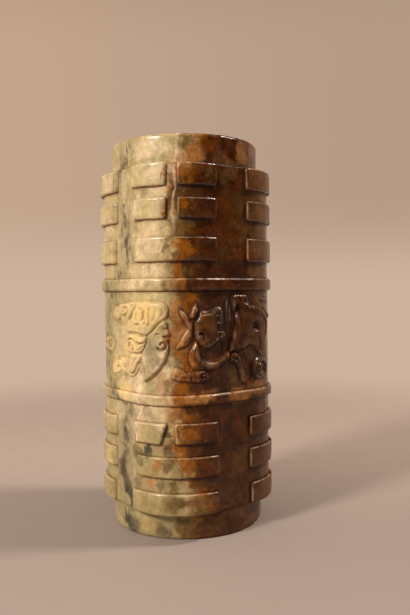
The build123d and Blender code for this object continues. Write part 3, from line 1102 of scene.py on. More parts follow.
class Shading:
    """Short words for the nodes that a stone is mixed from."""

    def __init__(self, tree):
        self.tree = tree

    def node(self, kind, inputs=(), **settings):
        """A new node with its settings, and its inputs linked or set by name or number."""
        made = self.tree.nodes.new(kind)
        for name, value in settings.items():
            setattr(made, name, value)
        for socket, value in dict(inputs).items():
            self.feed(made.inputs[socket], value)
        return made

    def feed(self, socket, value):
        """Link a socket to another node's output, or set its value."""
        if isinstance(value, bpy.types.NodeSocket):
            self.tree.links.new(value, socket)
        else:
            socket.default_value = value

    def noise(self, place, scale, detail=3.0, roughness=0.55):
        """Cloudy noise between 0 and 1."""
        inputs = {"Vector": place, "Scale": scale, "Detail": detail, "Roughness": roughness}
        return self.node("ShaderNodeTexNoise", inputs).outputs["Fac"]

    def ramp(self, value, low, high, to_low=0.0, to_high=1.0, smooth=True):
        """Carry a value from one span over to another, and hold it at the ends."""
        made = self.node(
            "ShaderNodeMapRange",
            {"Value": value, "From Min": low, "From Max": high, "To Min": to_low, "To Max": to_high},
            interpolation_type="SMOOTHSTEP" if smooth else "LINEAR", clamp=not smooth,
        )
        return made.outputs["Result"]

    def swing(self, place, scale, detail, roughness, reach):
        """Noise that swings as far below nought as above it."""
        return self.times(self.minus(self.noise(place, scale, detail, roughness), 0.5), reach)

    def maths(self, operation, a, b=0.0, clamp=False):
        """One step of arithmetic."""
        made = self.node("ShaderNodeMath", operation=operation, use_clamp=clamp)
        self.feed(made.inputs[0], a)
        self.feed(made.inputs[1], b)
        return made.outputs[0]

    def plus(self, a, b, clamp=False):
        """Two values added, held between 0 and 1 if asked for."""
        return self.maths("ADD", a, b, clamp)

    def minus(self, a, b):
        """One value less another."""
        return self.maths("SUBTRACT", a, b)

    def times(self, a, b):
        """Two values multiplied."""
        return self.maths("MULTIPLY", a, b)

    def larger(self, a, b):
        """The larger of two values."""
        return self.maths("MAXIMUM", a, b)

    def away_from(self, value, level):
        """How far a value lies from a level, on either side."""
        return self.maths("ABSOLUTE", self.minus(value, level))

    def levels(self, value, stops):
        """A smooth curve through rows of value and level, both between 0 and 1."""
        made = self.node("ShaderNodeValToRGB", {"Fac": value})
        marks = made.color_ramp
        marks.interpolation = "EASE"
        while len(marks.elements) < len(stops):
            marks.elements.new(0.5)
        for mark, (position, level) in zip(marks.elements, sorted(stops)):
            mark.position = position
            mark.color = (1, 1, 1, level)
        return made.outputs["Alpha"]

    def attribute(self, name):
        """What a piece's mesh says of its soiling and painted shade, its rubbing and painted
        highlight, or its ageing.
        """
        return self.node("ShaderNodeAttribute", attribute_name=name).outputs["Fac"]

    def show(self, share, first, second, output):
        """Mix two shaders by a share and show the result."""
        shaders = {0: share, 1: first.outputs[0], 2: second.outputs[0]}
        both = self.node("ShaderNodeMixShader", shaders)
        self.node(output, {"Surface": both.outputs[0]})

    def mix(self, share, under, over, blend="MIX"):
        """Lay a share of one colour over another."""
        made = self.node("ShaderNodeMix", data_type="RGBA", blend_type=blend)
        self.feed(made.inputs[0], share)
        self.feed(made.inputs[6], under)
        self.feed(made.inputs[7], over)
        return made.outputs[2]

    def vector(self, operation, a, b=None, scale=None):
        """One step of vector arithmetic."""
        made = self.node("ShaderNodeVectorMath", operation=operation)
        self.feed(made.inputs[0], a)
        if b is not None:
            self.feed(made.inputs[1], b)
        if scale is not None:
            self.feed(made.inputs["Scale"], scale)
        return made.outputs[1 if operation in ("DISTANCE", "LENGTH", "DOT_PRODUCT") else 0]


collars = tuple(
    (*node_heights(name), half_width(name)) for name in ("bottom_collar", "top_collar")
)


# Stains are centred this far out of the ground, halfway up the bars, in mm
stain_proud = 0.9


def surface_point(face, across, height):
    """A place on the stone in metres, from its place on one face in mm."""
    along = across + face_numbers[face] * face_girth
    for low, high, radius in collars:
        if low <= height <= high:
            turn = (along / face_girth - 1) * math.pi / 2
            place = (radius * math.cos(turn), radius * math.sin(turn), height)
            return [coordinate * mm for coordinate in place]
    along, height, proud = np.array([[along], [height], [stain_proud]], float)
    return [float(coordinate) * mm for coordinate in wrap(along, height, proud)[0]]


# Stains in the stone: face, mm across and up, radius in mm, how much taller than wide, colour, share
stains = (
    # The two cream patches on the collar here are paler stone in part and in part a painted highlight
    # where the polish faces the key lamp
    ("left", 19, 194, 4.8, 0.9, "cream", 0.75),
    ("left", 29, 193, 3.6, 0.9, "cream", 0.6),
    ("front", -25, 196, 2.6, 1.6, "olive", 0.8),
    ("front", -29, 188, 2.1, 0.9, "rose", 0.7),
    ("front", -21, 190, 4.8, 0.9, "tan", 0.8),
    ("front", -12, 194, 3.2, 1.2, "russet", 0.8),
    ("front", 10, 192, 4.8, 0.9, "khaki", 0.75),
    ("front", 22, 197, 3.2, 1.2, "khaki", 0.8),
    ("front", -5, 188, 4.8, 0.7, "khaki", 0.35),
    ("left", 28, 180, 4.8, 0.7, "cream", 0.7),
    ("left", 15, 180, 1.9, 1.2, "celadon", 0.8),
    ("left", 33, 178, 1, 2.2, "amber", 0.9),
    ("front", -31, 180, 1.8, 2.2, "rose", 0.75),
    ("front", -27, 182, 2.1, 0.9, "tan", 0.85),
    ("front", -27, 180, 2.4, 0.9, "amber", 0.8),
    ("front", -14, 180, 2.7, 0.9, "olive", 0.6),
    ("front", 0, 184, 4, 1.2, "khaki", 0.5),
    ("front", 15, 181, 4, 1.2, "khaki", 0.55),
    ("left", 20, 172, 2.1, 1.2, "slate", 0.7),
    ("left", 28, 172, 3.2, 0.5, "cream", 0.6),
    ("front", -31, 172, 2.1, 0.9, "ink", 0.6),
    ("left", 24, 164, 5.6, 0.9, "celadon", 0.6),
    ("left", 33, 162, 1.3, 2.2, "amber", 0.95),
    ("front", -31, 164, 1.8, 2.2, "olive", 0.8),
    ("front", -27, 165, 2.1, 1.2, "amber", 0.85),
    ("left", 25, 154, 4, 0.9, "cream", 0.7),
    ("front", -29, 154, 3.6, 0.9, "olive", 0.75),
    ("front", -32, 156, 2.4, 0.9, "moss", 0.5),
    ("left", 28, 145, 2.4, 1.2, "cream", 0.8),
    ("left", 33, 144, 1.9, 2.2, "olive", 0.7),
    ("front", -30, 145, 2.1, 1.2, "tan", 0.7),
    ("front", -27, 144, 2.7, 1.2, "amber", 0.9),
    ("front", -20, 144, 2.7, 0.9, "russet", 0.8),
    ("left", 15, 134, 4, 0.9, "celadon", 0.6),
    ("left", 33, 133, 2.6, 1.2, "moss", 0.75),
    ("front", -30, 133, 2.1, 1.6, "amber", 0.85),
    ("front", -27, 133, 1.8, 1.2, "chocolate", 0.8),
    ("front", -31, 125, 2.9, 0.7, "olive", 0.6),
    ("front", -28, 125, 2.4, 0.9, "amber", 0.9),
    ("front", -5, 157, 7.2, 1.6, "russet", 0.4),
    ("front", 8, 152, 3.2, 3, "khaki", 0.35),
    ("front", 15, 144, 4, 0.9, "khaki", 0.55),
    ("front", 15, 132, 4, 0.9, "khaki", 0.5),
    ("front", 18, 162, 3.2, 0.9, "khaki", 0.45),
    ("front", -5, 178, 2.4, 1.6, "olive", 0.5),
    ("left", 4, 159, 1.4, 2.2, "ink", 0.75),
    ("left", 6, 144, 1.6, 3, "ink", 0.8),
    ("left", 15, 154, 3.2, 1.2, "slate", 0.5),
    ("left", -13, 126, 1.9, 1.2, "ink", 0.6),
    ("left", -14, 112, 2.9, 2.2, "slate", 0.6),
    ("left", -6, 106, 3.2, 2.2, "slate", 0.3),
    ("left", 21, 112, 6.8, 0.9, "straw", 0.85),
    ("left", 13, 97, 4.4, 1.2, "straw", 0.8),
    ("left", -3, 86, 4.4, 0.9, "straw", 0.75),
    ("left", 25, 95, 4.2, 1.6, "slate", 0.7),
    ("left", 21, 85, 3.2, 1.2, "slate", 0.6),
    ("left", 2, 74, 4.8, 0.9, "straw", 0.55),
    ("left", 30, 119, 3.2, 0.9, "celadon", 0.7),
    ("front", -32, 120, 2.2, 1.2, "olive", 0.45),
    ("front", -31, 114, 2.7, 1.2, "tan", 0.8),
    ("front", -25, 118, 2.7, 1.2, "amber", 0.9),
    ("front", -31, 106, 2.4, 1.2, "amber", 0.6),
    ("front", -33, 98, 2.7, 1.6, "tan", 0.75),
    ("left", 33, 88, 2.4, 1.2, "olive", 0.6),
    ("left", 29, 82, 3.4, 0.9, "rose", 0.6),
    ("left", 23, 76, 3.4, 0.9, "slate", 0.6),
    ("front", -33, 78, 2.9, 0.9, "rose", 0.6),
    ("front", -28, 76, 2.7, 1.2, "amber", 0.95),
    ("front", -27, 86, 2.7, 1.2, "amber", 0.9),
    ("front", -28, 92, 2.4, 1.2, "amber", 0.8),
    ("front", -14, 106, 3.2, 1.2, "olive", 0.4),
    ("front", 11, 96, 3.7, 1.6, "olive", 0.5),
    ("front", -1, 80, 2.9, 1.2, "olive", 0.5),
    ("front", 17, 82, 3.2, 1.2, "olive", 0.7),
    ("front", 4, 78, 3.2, 1.2, "khaki", 0.4),
    ("front", 18, 74, 4.8, 0.5, "khaki", 0.5),
    ("front", -14, 72, 4.8, 0.5, "tan", 0.45),
    ("left", 5, 72, 4.8, 0.9, "straw", 0.5),
    ("left", 29, 75, 2.9, 1.2, "rose", 0.6),
    ("left", 33, 77, 2.1, 1.2, "olive", 0.5),
    ("front", -29, 75, 3.5, 1.2, "amber", 0.85),
    ("left", 23, 70, 3.5, 0.5, "celadon", 0.7),
    ("left", 32, 70, 2.4, 0.7, "rose", 0.6),
    ("front", -26, 70, 2.7, 0.7, "amber", 0.9),
    ("front", -18, 70, 3.7, 0.5, "tan", 0.6),
    ("front", 3, 71, 6.4, 0.5, "khaki", 0.5),
    ("left", 21, 63, 4.2, 0.9, "slate", 0.65),
    ("left", 8, 62, 2.6, 1.2, "ink", 0.45),
    ("front", -33, 64, 2.9, 1.2, "tan", 0.85),
    ("front", -27, 62, 2.4, 1.2, "amber", 0.9),
    ("left", 21, 53, 3.2, 0.9, "celadon", 0.7),
    ("left", 31, 54, 1, 2.2, "chocolate", 0.8),
    ("left", 13, 50, 1.8, 2.2, "tan", 0.6),
    ("front", -30, 54, 2.4, 1.2, "tan", 0.85),
    ("front", -25, 54, 3.7, 0.9, "amber", 0.95),
    ("front", -15, 55, 3.2, 0.9, "russet", 0.8),
    ("left", 21, 46, 2.1, 0.9, "ink", 0.95),
    ("left", 12, 43, 2.7, 0.9, "ink", 0.5),
    ("left", 27, 46, 1.9, 0.9, "rose", 0.7),
    ("left", 31, 46, 2.4, 0.9, "ink", 0.6),
    ("front", -29, 46, 3.2, 0.9, "amber", 0.8),
    ("left", 23, 36, 3.2, 1.2, "moss", 0.6),
    ("left", 27, 39, 2.4, 1.2, "tan", 0.9),
    ("left", 32, 38, 2.6, 1.2, "olive", 0.8),
    ("front", -31, 36, 2.1, 1.2, "moss", 0.7),
    ("front", -26, 38, 3.4, 0.9, "amber", 0.9),
    ("front", -18, 39, 3.2, 0.9, "russet", 0.7),
    ("left", 13, 28, 3.2, 0.9, "ink", 0.5),
    ("left", 22, 29, 1.9, 1.6, "tan", 0.7),
    ("left", 28, 28, 2.6, 0.9, "ink", 0.55),
    ("front", -33, 28, 2.9, 0.9, "olive", 0.8),
    ("front", -18, 28, 3.4, 0.5, "olive", 0.5),
    ("left", 19, 19, 1, 3, "tan", 0.8),
    ("left", 23, 18, 3.2, 0.9, "moss", 0.8),
    ("left", 31, 18, 4.8, 0.7, "moss", 0.9),
    ("front", -31, 20, 2.9, 0.9, "olive", 0.55),
    ("front", -23, 20, 3.5, 0.7, "khaki", 0.9),
    ("front", -15, 20, 3.2, 0.7, "khaki", 0.75),
    ("left", 2, 8, 2.7, 1.2, "ink", 0.95),
    ("left", 9, 5, 3.5, 0.9, "ink", 0.6),
    ("left", 19, 6, 2.9, 0.9, "straw", 0.6),
    ("left", 27, 4, 2.7, 0.9, "ink", 0.7),
    ("left", 31, 6, 2.1, 0.9, "slate", 0.7),
    ("front", -30, 5, 3.4, 0.7, "olive", 0.7),
    ("front", -19, 6, 4.2, 0.5, "khaki", 0.5),
    ("left", 3, 50, 1.4, 1.6, "ink", 0.7),
    ("left", -1, 32, 2.1, 2.2, "ink", 0.95),
    ("left", 3, 23, 2.2, 1.2, "ink", 0.95),
    ("left", 7, 18, 1.8, 2.2, "ink", 0.9),
    ("left", 16, 40, 2.7, 0.9, "ink", 0.5),
    ("left", 5, 36, 3.2, 2.2, "slate", 0.6),
    ("left", -12, 36, 3.2, 1.6, "straw", 0.4),
    ("left", 25, 90, 3.8, 1.2, "slate", 0.6),
    ("left", 31, 88, 1.3, 3, "moss", 0.6),
    ("left", 6, 94, 4.8, 1.2, "straw", 0.4),
    ("front", -21, 188, 4, 0.9, "tan", 0.6),
    ("front", 10, 191, 4.8, 0.9, "tan", 0.45),
    ("front", -19, 70, 3.7, 0.5, "tan", 0.75),
    ("front", 3, 70, 7.2, 0.5, "tan", 0.5),
    ("front", -33, 20, 4.8, 0.9, "olive", 0.55),
    ("front", -27, 5, 4.8, 0.9, "olive", 0.5),
    ("left", 23, 55, 4, 0.9, "moss", 0.5),
    # Rose on the front dragon's ear, horn and the neck's left edge: paler stone in part, and in part
    # a painted highlight where these edges face the key lamp
    ("front", -26, 101, 1.3, 1.6, "rose", 0.8),
    ("front", -22, 113, 1, 1.6, "rose", 0.7),
    ("front", -23, 90, 1.1, 2.2, "rose", 0.6),
    ("front", -30, 82, 2.1, 0.9, "tan", 0.6),
    ("front", 17, 73, 6.4, 0.5, "tan", 0.4),
    ("back", -22, 150, 7, 1.6, "cream", 0.6),
    ("back", 14, 140, 6.4, 1.2, "straw", 0.5),
    ("back", 24, 176, 6, 0.9, "cream", 0.55),
    ("back", -12, 104, 5, 1.2, "slate", 0.5),
    ("back", 8, 88, 4.4, 0.9, "cream", 0.5),
    ("back", 26, 100, 4.6, 1.6, "straw", 0.5),
    ("back", -16, 58, 6, 1.2, "olive", 0.4),
    ("back", 6, 48, 7, 1.6, "slate", 0.5),
    ("back", 22, 34, 6, 0.9, "cream", 0.5),
    ("back", -28, 30, 4, 1.6, "tan", 0.5),
    ("right", -20, 158, 5, 1.2, "amber", 0.45),
    ("right", 6, 172, 4.4, 1.2, "khaki", 0.5),
    ("right", 20, 146, 4, 1.6, "amber", 0.5),
    ("right", -6, 132, 5, 0.9, "olive", 0.5),
    ("right", -26, 104, 4, 1.6, "russet", 0.6),
    ("right", 14, 54, 5.4, 1.2, "amber", 0.45),
    ("right", -14, 44, 5, 1.6, "khaki", 0.5),
    ("right", 8, 24, 4.4, 0.9, "olive", 0.5),
    ("right", -24, 12, 5, 0.9, "khaki", 0.5),
    # Chocolate in the front dragon's eye hollow and in its deep pits and groove: painted shade in
    # those hollows
    ("front", -21, 111.4, 1.3, 1.6, "chocolate", 0.85),
    ("front", 1.8, 112, 1.5, 2.2, "chocolate", 0.85),
    ("front", -1, 105, 1.1, 2.2, "chocolate", 0.85),
    ("front", -3.4, 97, 1.1, 3, "chocolate", 0.85),
    ("front", -16, 143, 4, 0.9, "chocolate", 0.7),
    ("front", -18, 133, 4.4, 0.9, "chocolate", 0.8),
    ("front", -15, 54, 4, 0.9, "chocolate", 0.6),
    ("front", -22, 178, 3, 0.9, "chocolate", 0.45),
    ("front", 1, 5, 7, 0.5, "chocolate", 0.7),
    ("front", -19, 5, 4.4, 0.7, "chocolate", 0.5),
    ("front", -13, 90, 3.6, 0.9, "chocolate", 0.5),
    ("front", -25, 71, 3.4, 0.5, "tan", 0.85),
    # Rose along the lip of the front dragon's body and tan on its ear: paler stone in part, painted
    # highlight in part
    ("front", -13, 86.4, 3, 0.5, "rose", 0.55),
    ("front", -27, 99, 1.8, 1.6, "tan", 0.8),
    ("front", -30, 21, 3.4, 0.9, "olive", 0.6),
    ("left", 21, 45, 2.4, 0.9, "ink", 0.7),
    # Tan on the front dragon's ear and amber on its neck: a painted highlight where they face the key
    # lamp, over the stone's own colour
    ("front", -27.6, 99.6, 2.6, 1.6, "tan", 0.75),
    ("front", -23.6, 90, 2.4, 1.6, "amber", 0.8),
    ("left", -11, 181, 6, 1.2, "cream", 0.6),
    ("left", 3, 177, 3.4, 2.2, "cream", 0.35),
    ("front", -23, 64.6, 4, 0.5, "chocolate", 0.85),
    ("left", 22, 6, 5.4, 0.5, "olive", 0.45),
    ("left", 4, 6, 3.6, 0.9, "ink", 0.6),
)


def empty_material(name):
    """A new material whose node tree is still empty."""
    material = bpy.data.materials.new(name)
    material.use_nodes = True
    material.node_tree.nodes.clear()
    return material


def jade(slot):
    """The stone's finish under one slot's name. The stone is mixed once and copied."""
    name = f"polished_{slot}"
    if name not in bpy.data.materials:
        mixed = [made for made in bpy.data.materials if made.name.startswith("polished_")]
        material = mixed[0].copy() if mixed else mix_stone()
        material.name = name
    return bpy.data.materials[name]


# How far the seam between the pale and the dark side, and the vein on the left face, stray from
# straight: rows of share of the stone's height and share of the way they may stray
seam_levels = (
    (0.0, 0.22), (0.055, 0.24), (0.08, 0.44), (0.12, 0.4), (0.16, 0.2), (0.24, 0.12),
    (0.4, 0.14), (0.6, 0.2), (0.7, 0.14), (0.86, 0.1), (0.92, 0.3), (1.0, 0.42),
)
seam_reach = 0.025
vein_levels = (
    (0.0, 0.64), (0.04, 0.56), (0.09, 0.68), (0.12, 0.58), (0.16, 0.47), (0.21, 0.56),
    (0.26, 0.57), (0.31, 0.67), (0.37, 0.25), (0.4, 0.05), (0.45, 0.06), (0.54, 0.15),
    (0.59, 0.23), (0.63, 0.26), (0.66, 0.5), (0.69, 0.655), (0.73, 0.64), (0.8, 0.6),
    (0.84, 0.59), (0.89, 0.53), (0.95, 0.585), (1.0, 0.6),
)
vein_reach = 0.04
stone_height = 0.2
corner_direction = (0.7071, -0.7071, 0)


class Stone(Shading):
    """The tree that the stone is mixed in, with the patterns that its layers share."""

    def __init__(self, tree):
        super().__init__(tree)
        self.place = self.node("ShaderNodeTexCoord").outputs["Object"]
        loose = self.vector("ADD", self.place, self.wander(60, 0.011, 5))
        self.loose = self.vector("ADD", loose, self.wander(300, 0.004, 4))
        self.x, self.y, self.z = self.node("ShaderNodeSeparateXYZ", {"Vector": self.loose}).outputs
        self.height = self.maths("DIVIDE", self.z, stone_height)
        self.clouds = self.noise(self.loose, 42, 5, 0.6)
        self.mottle = self.noise(self.loose, 150, 5, 0.65)
        self.blotch = self.noise(self.loose, 95, 6, 0.62)
        self.side = self.vector("DOT_PRODUCT", self.loose, corner_direction)
        seam = self.times(self.levels(self.height, seam_levels), seam_reach)
        self.beyond_seam = self.minus(self.side, seam)
        self.streaks = self.noise(self.vector("MULTIPLY", self.loose, (1, 1, 0.16)), 420, 5, 0.65)

    def wander(self, scale, reach, detail):
        """A noisy offset, so that boundaries between colours wander."""
        inputs = {"Vector": self.place, "Scale": scale, "Detail": detail}
        made = self.node("ShaderNodeTexNoise", inputs)
        offset = self.vector("SUBTRACT", made.outputs["Color"], (0.5, 0.5, 0.5))
        return self.vector("SCALE", offset, scale=reach)

    def tint(self, share, under, over):
        """Mix a named colour of the stone over another, or over what is mixed so far."""
        colours = [
            (*getattr(finishes(), colour), 1.0) if isinstance(colour, str) else colour
            for colour in (under, over)
        ]
        return self.mix(share, *colours)


def pale_side(stone):
    """Celadon with cream clouds and mossy depths, duller towards the left face's middle."""
    body = stone.tint(stone.ramp(stone.clouds, 0.4, 0.68), "celadon", "cream")
    body = stone.tint(stone.ramp(stone.clouds, 0.46, 0.3, 0, 0.6), body, "moss")
    body = stone.tint(stone.ramp(stone.mottle, 0.46, 0.7, 0, 0.6), body, "moss")
    inwards = stone.ramp(stone.y, -0.016, -0.004, 0, 0.3)
    downwards = stone.ramp(stone.z, 0.068, 0.045, 0, 0.7)
    return stone.tint(stone.larger(inwards, downwards), body, "moss")


def dark_side(stone):
    """Chocolate with russet clouds, greyer and lighter towards the right and the foot."""
    body = stone.tint(stone.ramp(stone.blotch, 0.46, 0.66, 0, 0.75), "chocolate", "russet")
    body = stone.tint(stone.ramp(stone.clouds, 0.52, 0.66, 0, 0.4), body, "olive")
    right = stone.times(stone.ramp(stone.x, 0.004, 0.034), stone.ramp(stone.z, 0.08, 0.18, 0.35, 1))
    body = stone.tint(stone.times(right, 0.6), body, "khaki")
    low = stone.times(stone.ramp(stone.z, 0.05, 0.0, 0, 0.4), stone.ramp(stone.mottle, 0.3, 0.6))
    body = stone.tint(low, body, "khaki")
    flecks = stone.ramp(stone.noise(stone.place, 420, 4, 0.7), 0.56, 0.74, 0, 0.4)
    return stone.tint(flecks, body, "khaki")


def meet_at_seam(stone, pale, dark):
    """Let the sides meet near the front corner through tan and amber, along a ragged seam."""
    frayed = stone.plus(stone.beyond_seam, stone.swing(stone.place, 75, 4, 0.6, 0.035))
    ragged = stone.plus(frayed, stone.swing(stone.place, 170, 5, 0.65, 0.014))
    seam = stone.tint(stone.ramp(stone.mottle, 0.44, 0.6), "amber", "olive")
    seam = stone.tint(stone.ramp(stone.blotch, 0.44, 0.6, 0, 0.9), seam, "russet")
    warm = stone.tint(stone.ramp(stone.mottle, 0.4, 0.62), "tan", "olive")
    body = stone.mix(stone.ramp(frayed, -0.009, 0.001, 0, 0.85), pale, warm)
    body = stone.mix(stone.ramp(ragged, -0.003, 0.004), body, seam)
    return stone.mix(stone.ramp(ragged, 0.001, 0.011), body, dark)


def add_vein(stone, body):
    """A dark vein in a grey halo, which wanders up the left face."""
    stray = stone.levels(stone.height, vein_levels)
    middle = stone.times(stone.minus(0.5, stray), vein_reach)
    off_vein = stone.away_from(stone.y, middle)
    on_left = stone.ramp(stone.x, -0.02, -0.028)
    fibres = stone.ramp(stone.streaks, 0.35, 0.6, 0.3, 0.9)
    halo = stone.times(stone.ramp(off_vein, 0.0105, 0.002), fibres)
    body = stone.tint(stone.times(halo, on_left), body, "slate")
    lined = stone.ramp(stone.streaks, 0.5, 0.62, 0, 0.9)
    blotched = stone.ramp(stone.noise(stone.place, 85, 5, 0.7), 0.42, 0.58, 0, 0.95)
    broken = stone.mix(stone.ramp(stone.z, 0.076, 0.066), lined, blotched)
    vein = stone.times(stone.ramp(off_vein, 0.0055, 0.001), broken)
    body = stone.tint(stone.times(vein, on_left), body, "ink")
    scratched = stone.times(stone.ramp(stone.streaks, 0.52, 0.68, 0, 0.3), on_left)
    return stone.tint(scratched, body, "moss")


def add_stains(stone, body):
    """Stains at their places, with frayed edges. One material has room for about 200 of them:
    past that Cycles renders it black."""
    nudged = stone.vector("ADD", stone.place, stone.wander(130, 0.008, 4))
    fray = stone.swing(stone.place, 220, 5, 0.7, 0.011)
    stretched = {}
    for face, across, up, radius, tall, colour, share in stains:
        if tall not in stretched:
            stretched[tall] = stone.vector("MULTIPLY", nudged, (1, 1, 1 / tall))
        x, y, z = surface_point(face, across, up)
        distance = stone.vector("DISTANCE", stretched[tall], (x, y, z / tall))
        distance = stone.plus(distance, fray)
        spread = stone.ramp(distance, (radius * 1.35 + 0.8) * mm, radius * mm * 0.65, 0, share)
        body = stone.tint(spread, body, colour)
    return body


def add_calcite(stone, body):
    """Pale calcite veins, one in the left face and one in the front corner."""
    line = stone.ramp(stone.away_from(stone.y, -0.0148), 0.0009, 0.0003)
    line = stone.times(line, stone.ramp(stone.x, -0.02, -0.03))
    span = stone.times(stone.ramp(stone.z, 0.044, 0.052), stone.ramp(stone.z, 0.086, 0.08))
    body = stone.tint(stone.times(line, span), body, "calcite")
    line = stone.ramp(stone.away_from(stone.side, 0.0026), 0.0012, 0.0003)
    line = stone.times(line, stone.ramp(stone.z, 0.15, 0.158))
    line = stone.times(line, stone.ramp(stone.y, -0.01, -0.02, 0, 0.55))
    return stone.tint(line, body, "calcite")


def add_grain(stone, body, dark_share):
    """Fine pepper, most of it in the tan stone beside the seam, and grain in all the stone."""
    rising = stone.ramp(stone.beyond_seam, -0.012, 0.0, 0.12, 0.55)
    near = stone.times(rising, stone.ramp(stone.beyond_seam, 0.02, 0.008))
    pepper = stone.ramp(stone.noise(stone.place, 900, 3, 0.7), 0.56, 0.7)
    body = stone.tint(stone.times(pepper, near), body, "chocolate")
    clots = stone.ramp(stone.noise(stone.place, 190, 5, 0.7), 0.5, 0.64, 0, 0.45)
    body = stone.tint(stone.times(clots, near), body, "olive")
    coarse = stone.noise(stone.place, 260, 4, 0.65)
    coarse = stone.ramp(coarse, 0.3, 0.7, 0.78, 1.18, smooth=False)
    fine = stone.ramp(stone.noise(stone.place, 520, 4, 0.8), 0.3, 0.7, -0.26, 0.22, smooth=False)
    fine = stone.plus(stone.times(fine, dark_share), 1.0)
    grey = stone.times(coarse, fine)
    grey = stone.node("ShaderNodeCombineColor", {"Red": grey, "Green": grey, "Blue": grey})
    return stone.mix(1.0, body, grey.outputs[0], "MULTIPLY")


# Browns of soiling and painted shade, for the pale and for the dark side
pale_dirt_and_shade = (0.66, 0.4, 0.17, 1)
dark_dirt_and_shade = (0.3, 0.16, 0.08, 1)


def age_surface(stone, body, dark_share, grime):
    """Old polish: straw on the pale side's dragons, brown soiling and painted shade in what is cut in
    and under the bars, and paler rubbed stone along the edges, which is also a painted highlight."""
    aged = stone.times(stone.attribute("aged"), stone.ramp(stone.mottle, 0.3, 0.65, 1.0, 0.35))
    body = stone.tint(aged, body, "straw")
    patchy = stone.ramp(stone.noise(stone.place, 200, 3), 0.3, 0.65, 0.55, 1)
    # Painted shade with soiling: creases, cuts and the undersides of bars are multiplied darker
    dirt_and_shade_tint = stone.mix(dark_share, pale_dirt_and_shade, dark_dirt_and_shade)
    soiled_and_shaded = stone.times(stone.times(grime, patchy), finishes().dirt_and_shade_strength)
    body = stone.mix(soiled_and_shaded, body, dirt_and_shade_tint, "MULTIPLY")
    # Paler along the edges: rubbed stone, and a painted highlight where light catches them
    worn_and_highlit = stone.times(stone.times(stone.attribute("wear"), patchy), finishes().wear_and_highlight_share)
    return stone.tint(worn_and_highlit, body, "calcite")


def polish(stone, body, grime):
    """The polished surface: glossier towards the mouth, pitted and dented by hand."""
    dullness = finishes().roughness
    rough = stone.ramp(stone.mottle, 0.3, 0.7, dullness - 0.04, dullness + 0.1)
    rough = stone.plus(rough, stone.times(grime, 0.25), clamp=True)
    pits = stone.noise(stone.place, 700, 4, 0.7)
    dents = stone.noise(stone.place, 140, 2, 0.5)
    relief = stone.plus(stone.times(pits, 0.25), dents)
    relief = stone.plus(relief, stone.times(stone.streaks, 0.12))
    bump = stone.node("ShaderNodeBump", {"Strength": 0.35, "Distance": 0.0006, "Height": relief})
    shader = stone.node(
        "ShaderNodeBsdfPrincipled",
        {
            "Base Color": body,
            "Roughness": rough,
            "IOR": 1.52,
            "Specular IOR Level": stone.ramp(stone.z, 0.08, 0.19, 0.27, 0.5),
            "Subsurface Weight": 0.15,
            "Subsurface Scale": 0.002,
            "Subsurface Radius": (1.0, 0.6, 0.35),
            "Normal": bump.outputs[0],
        },
    )
    stone.node("ShaderNodeOutputMaterial", {"Surface": shader.outputs[0]})


def mix_stone():
    """The mottled stone, celadon on its left and back, russet brown on its front and right."""
    material = empty_material("polished_stone")
    stone = Stone(material.node_tree)
    body = meet_at_seam(stone, pale_side(stone), dark_side(stone))
    body = add_calcite(stone, add_stains(stone, add_vein(stone, body)))
    dark_share = stone.ramp(stone.beyond_seam, -0.014, 0.002, 0.3, 1.0)
    # Soiling and painted shade from the meshes: darker in creases, cuts and under the bars
    grime = stone.attribute("grime")
    body = add_grain(stone, body, dark_share)
    body = age_surface(stone, body, dark_share, grime)
    polish(stone, body, grime)
    return material


class JadeCongSizes(bpy.types.PropertyGroup):
    """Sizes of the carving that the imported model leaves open."""

    edge_wear: FloatProperty(
        name="Edge wear", description="Radius of the worn edges of bars and bands",
        default=0.001, min=0.0002, max=0.0014, unit="LENGTH", precision=5,
    )
    relief_height: FloatProperty(
        name="Relief height", description="How far the dragons stand out of their ground",
        default=0.0012, min=0.0004, max=0.0012, unit="LENGTH", precision=5,
    )
    ground_sink: FloatProperty(
        name="Ground sink", description="How far the frieze's ground is cut back further",
        default=0.0006, min=0.0, max=0.0006, unit="LENGTH", precision=5,
    )
    carving_cell: FloatProperty(
        name="Carving cell", description="Size of the cells that the dragons are carved with",
        default=0.0003, min=0.0002, max=0.001, unit="LENGTH", precision=5,
    )


def stone_colour(label, purpose, colour):
    """A colour that the user may change, given in sRGB of 0 to 255."""
    return FloatVectorProperty(
        name=label, description=purpose, subtype="COLOR", size=3, default=linear(colour)[:3],
        min=0, max=1,
    )


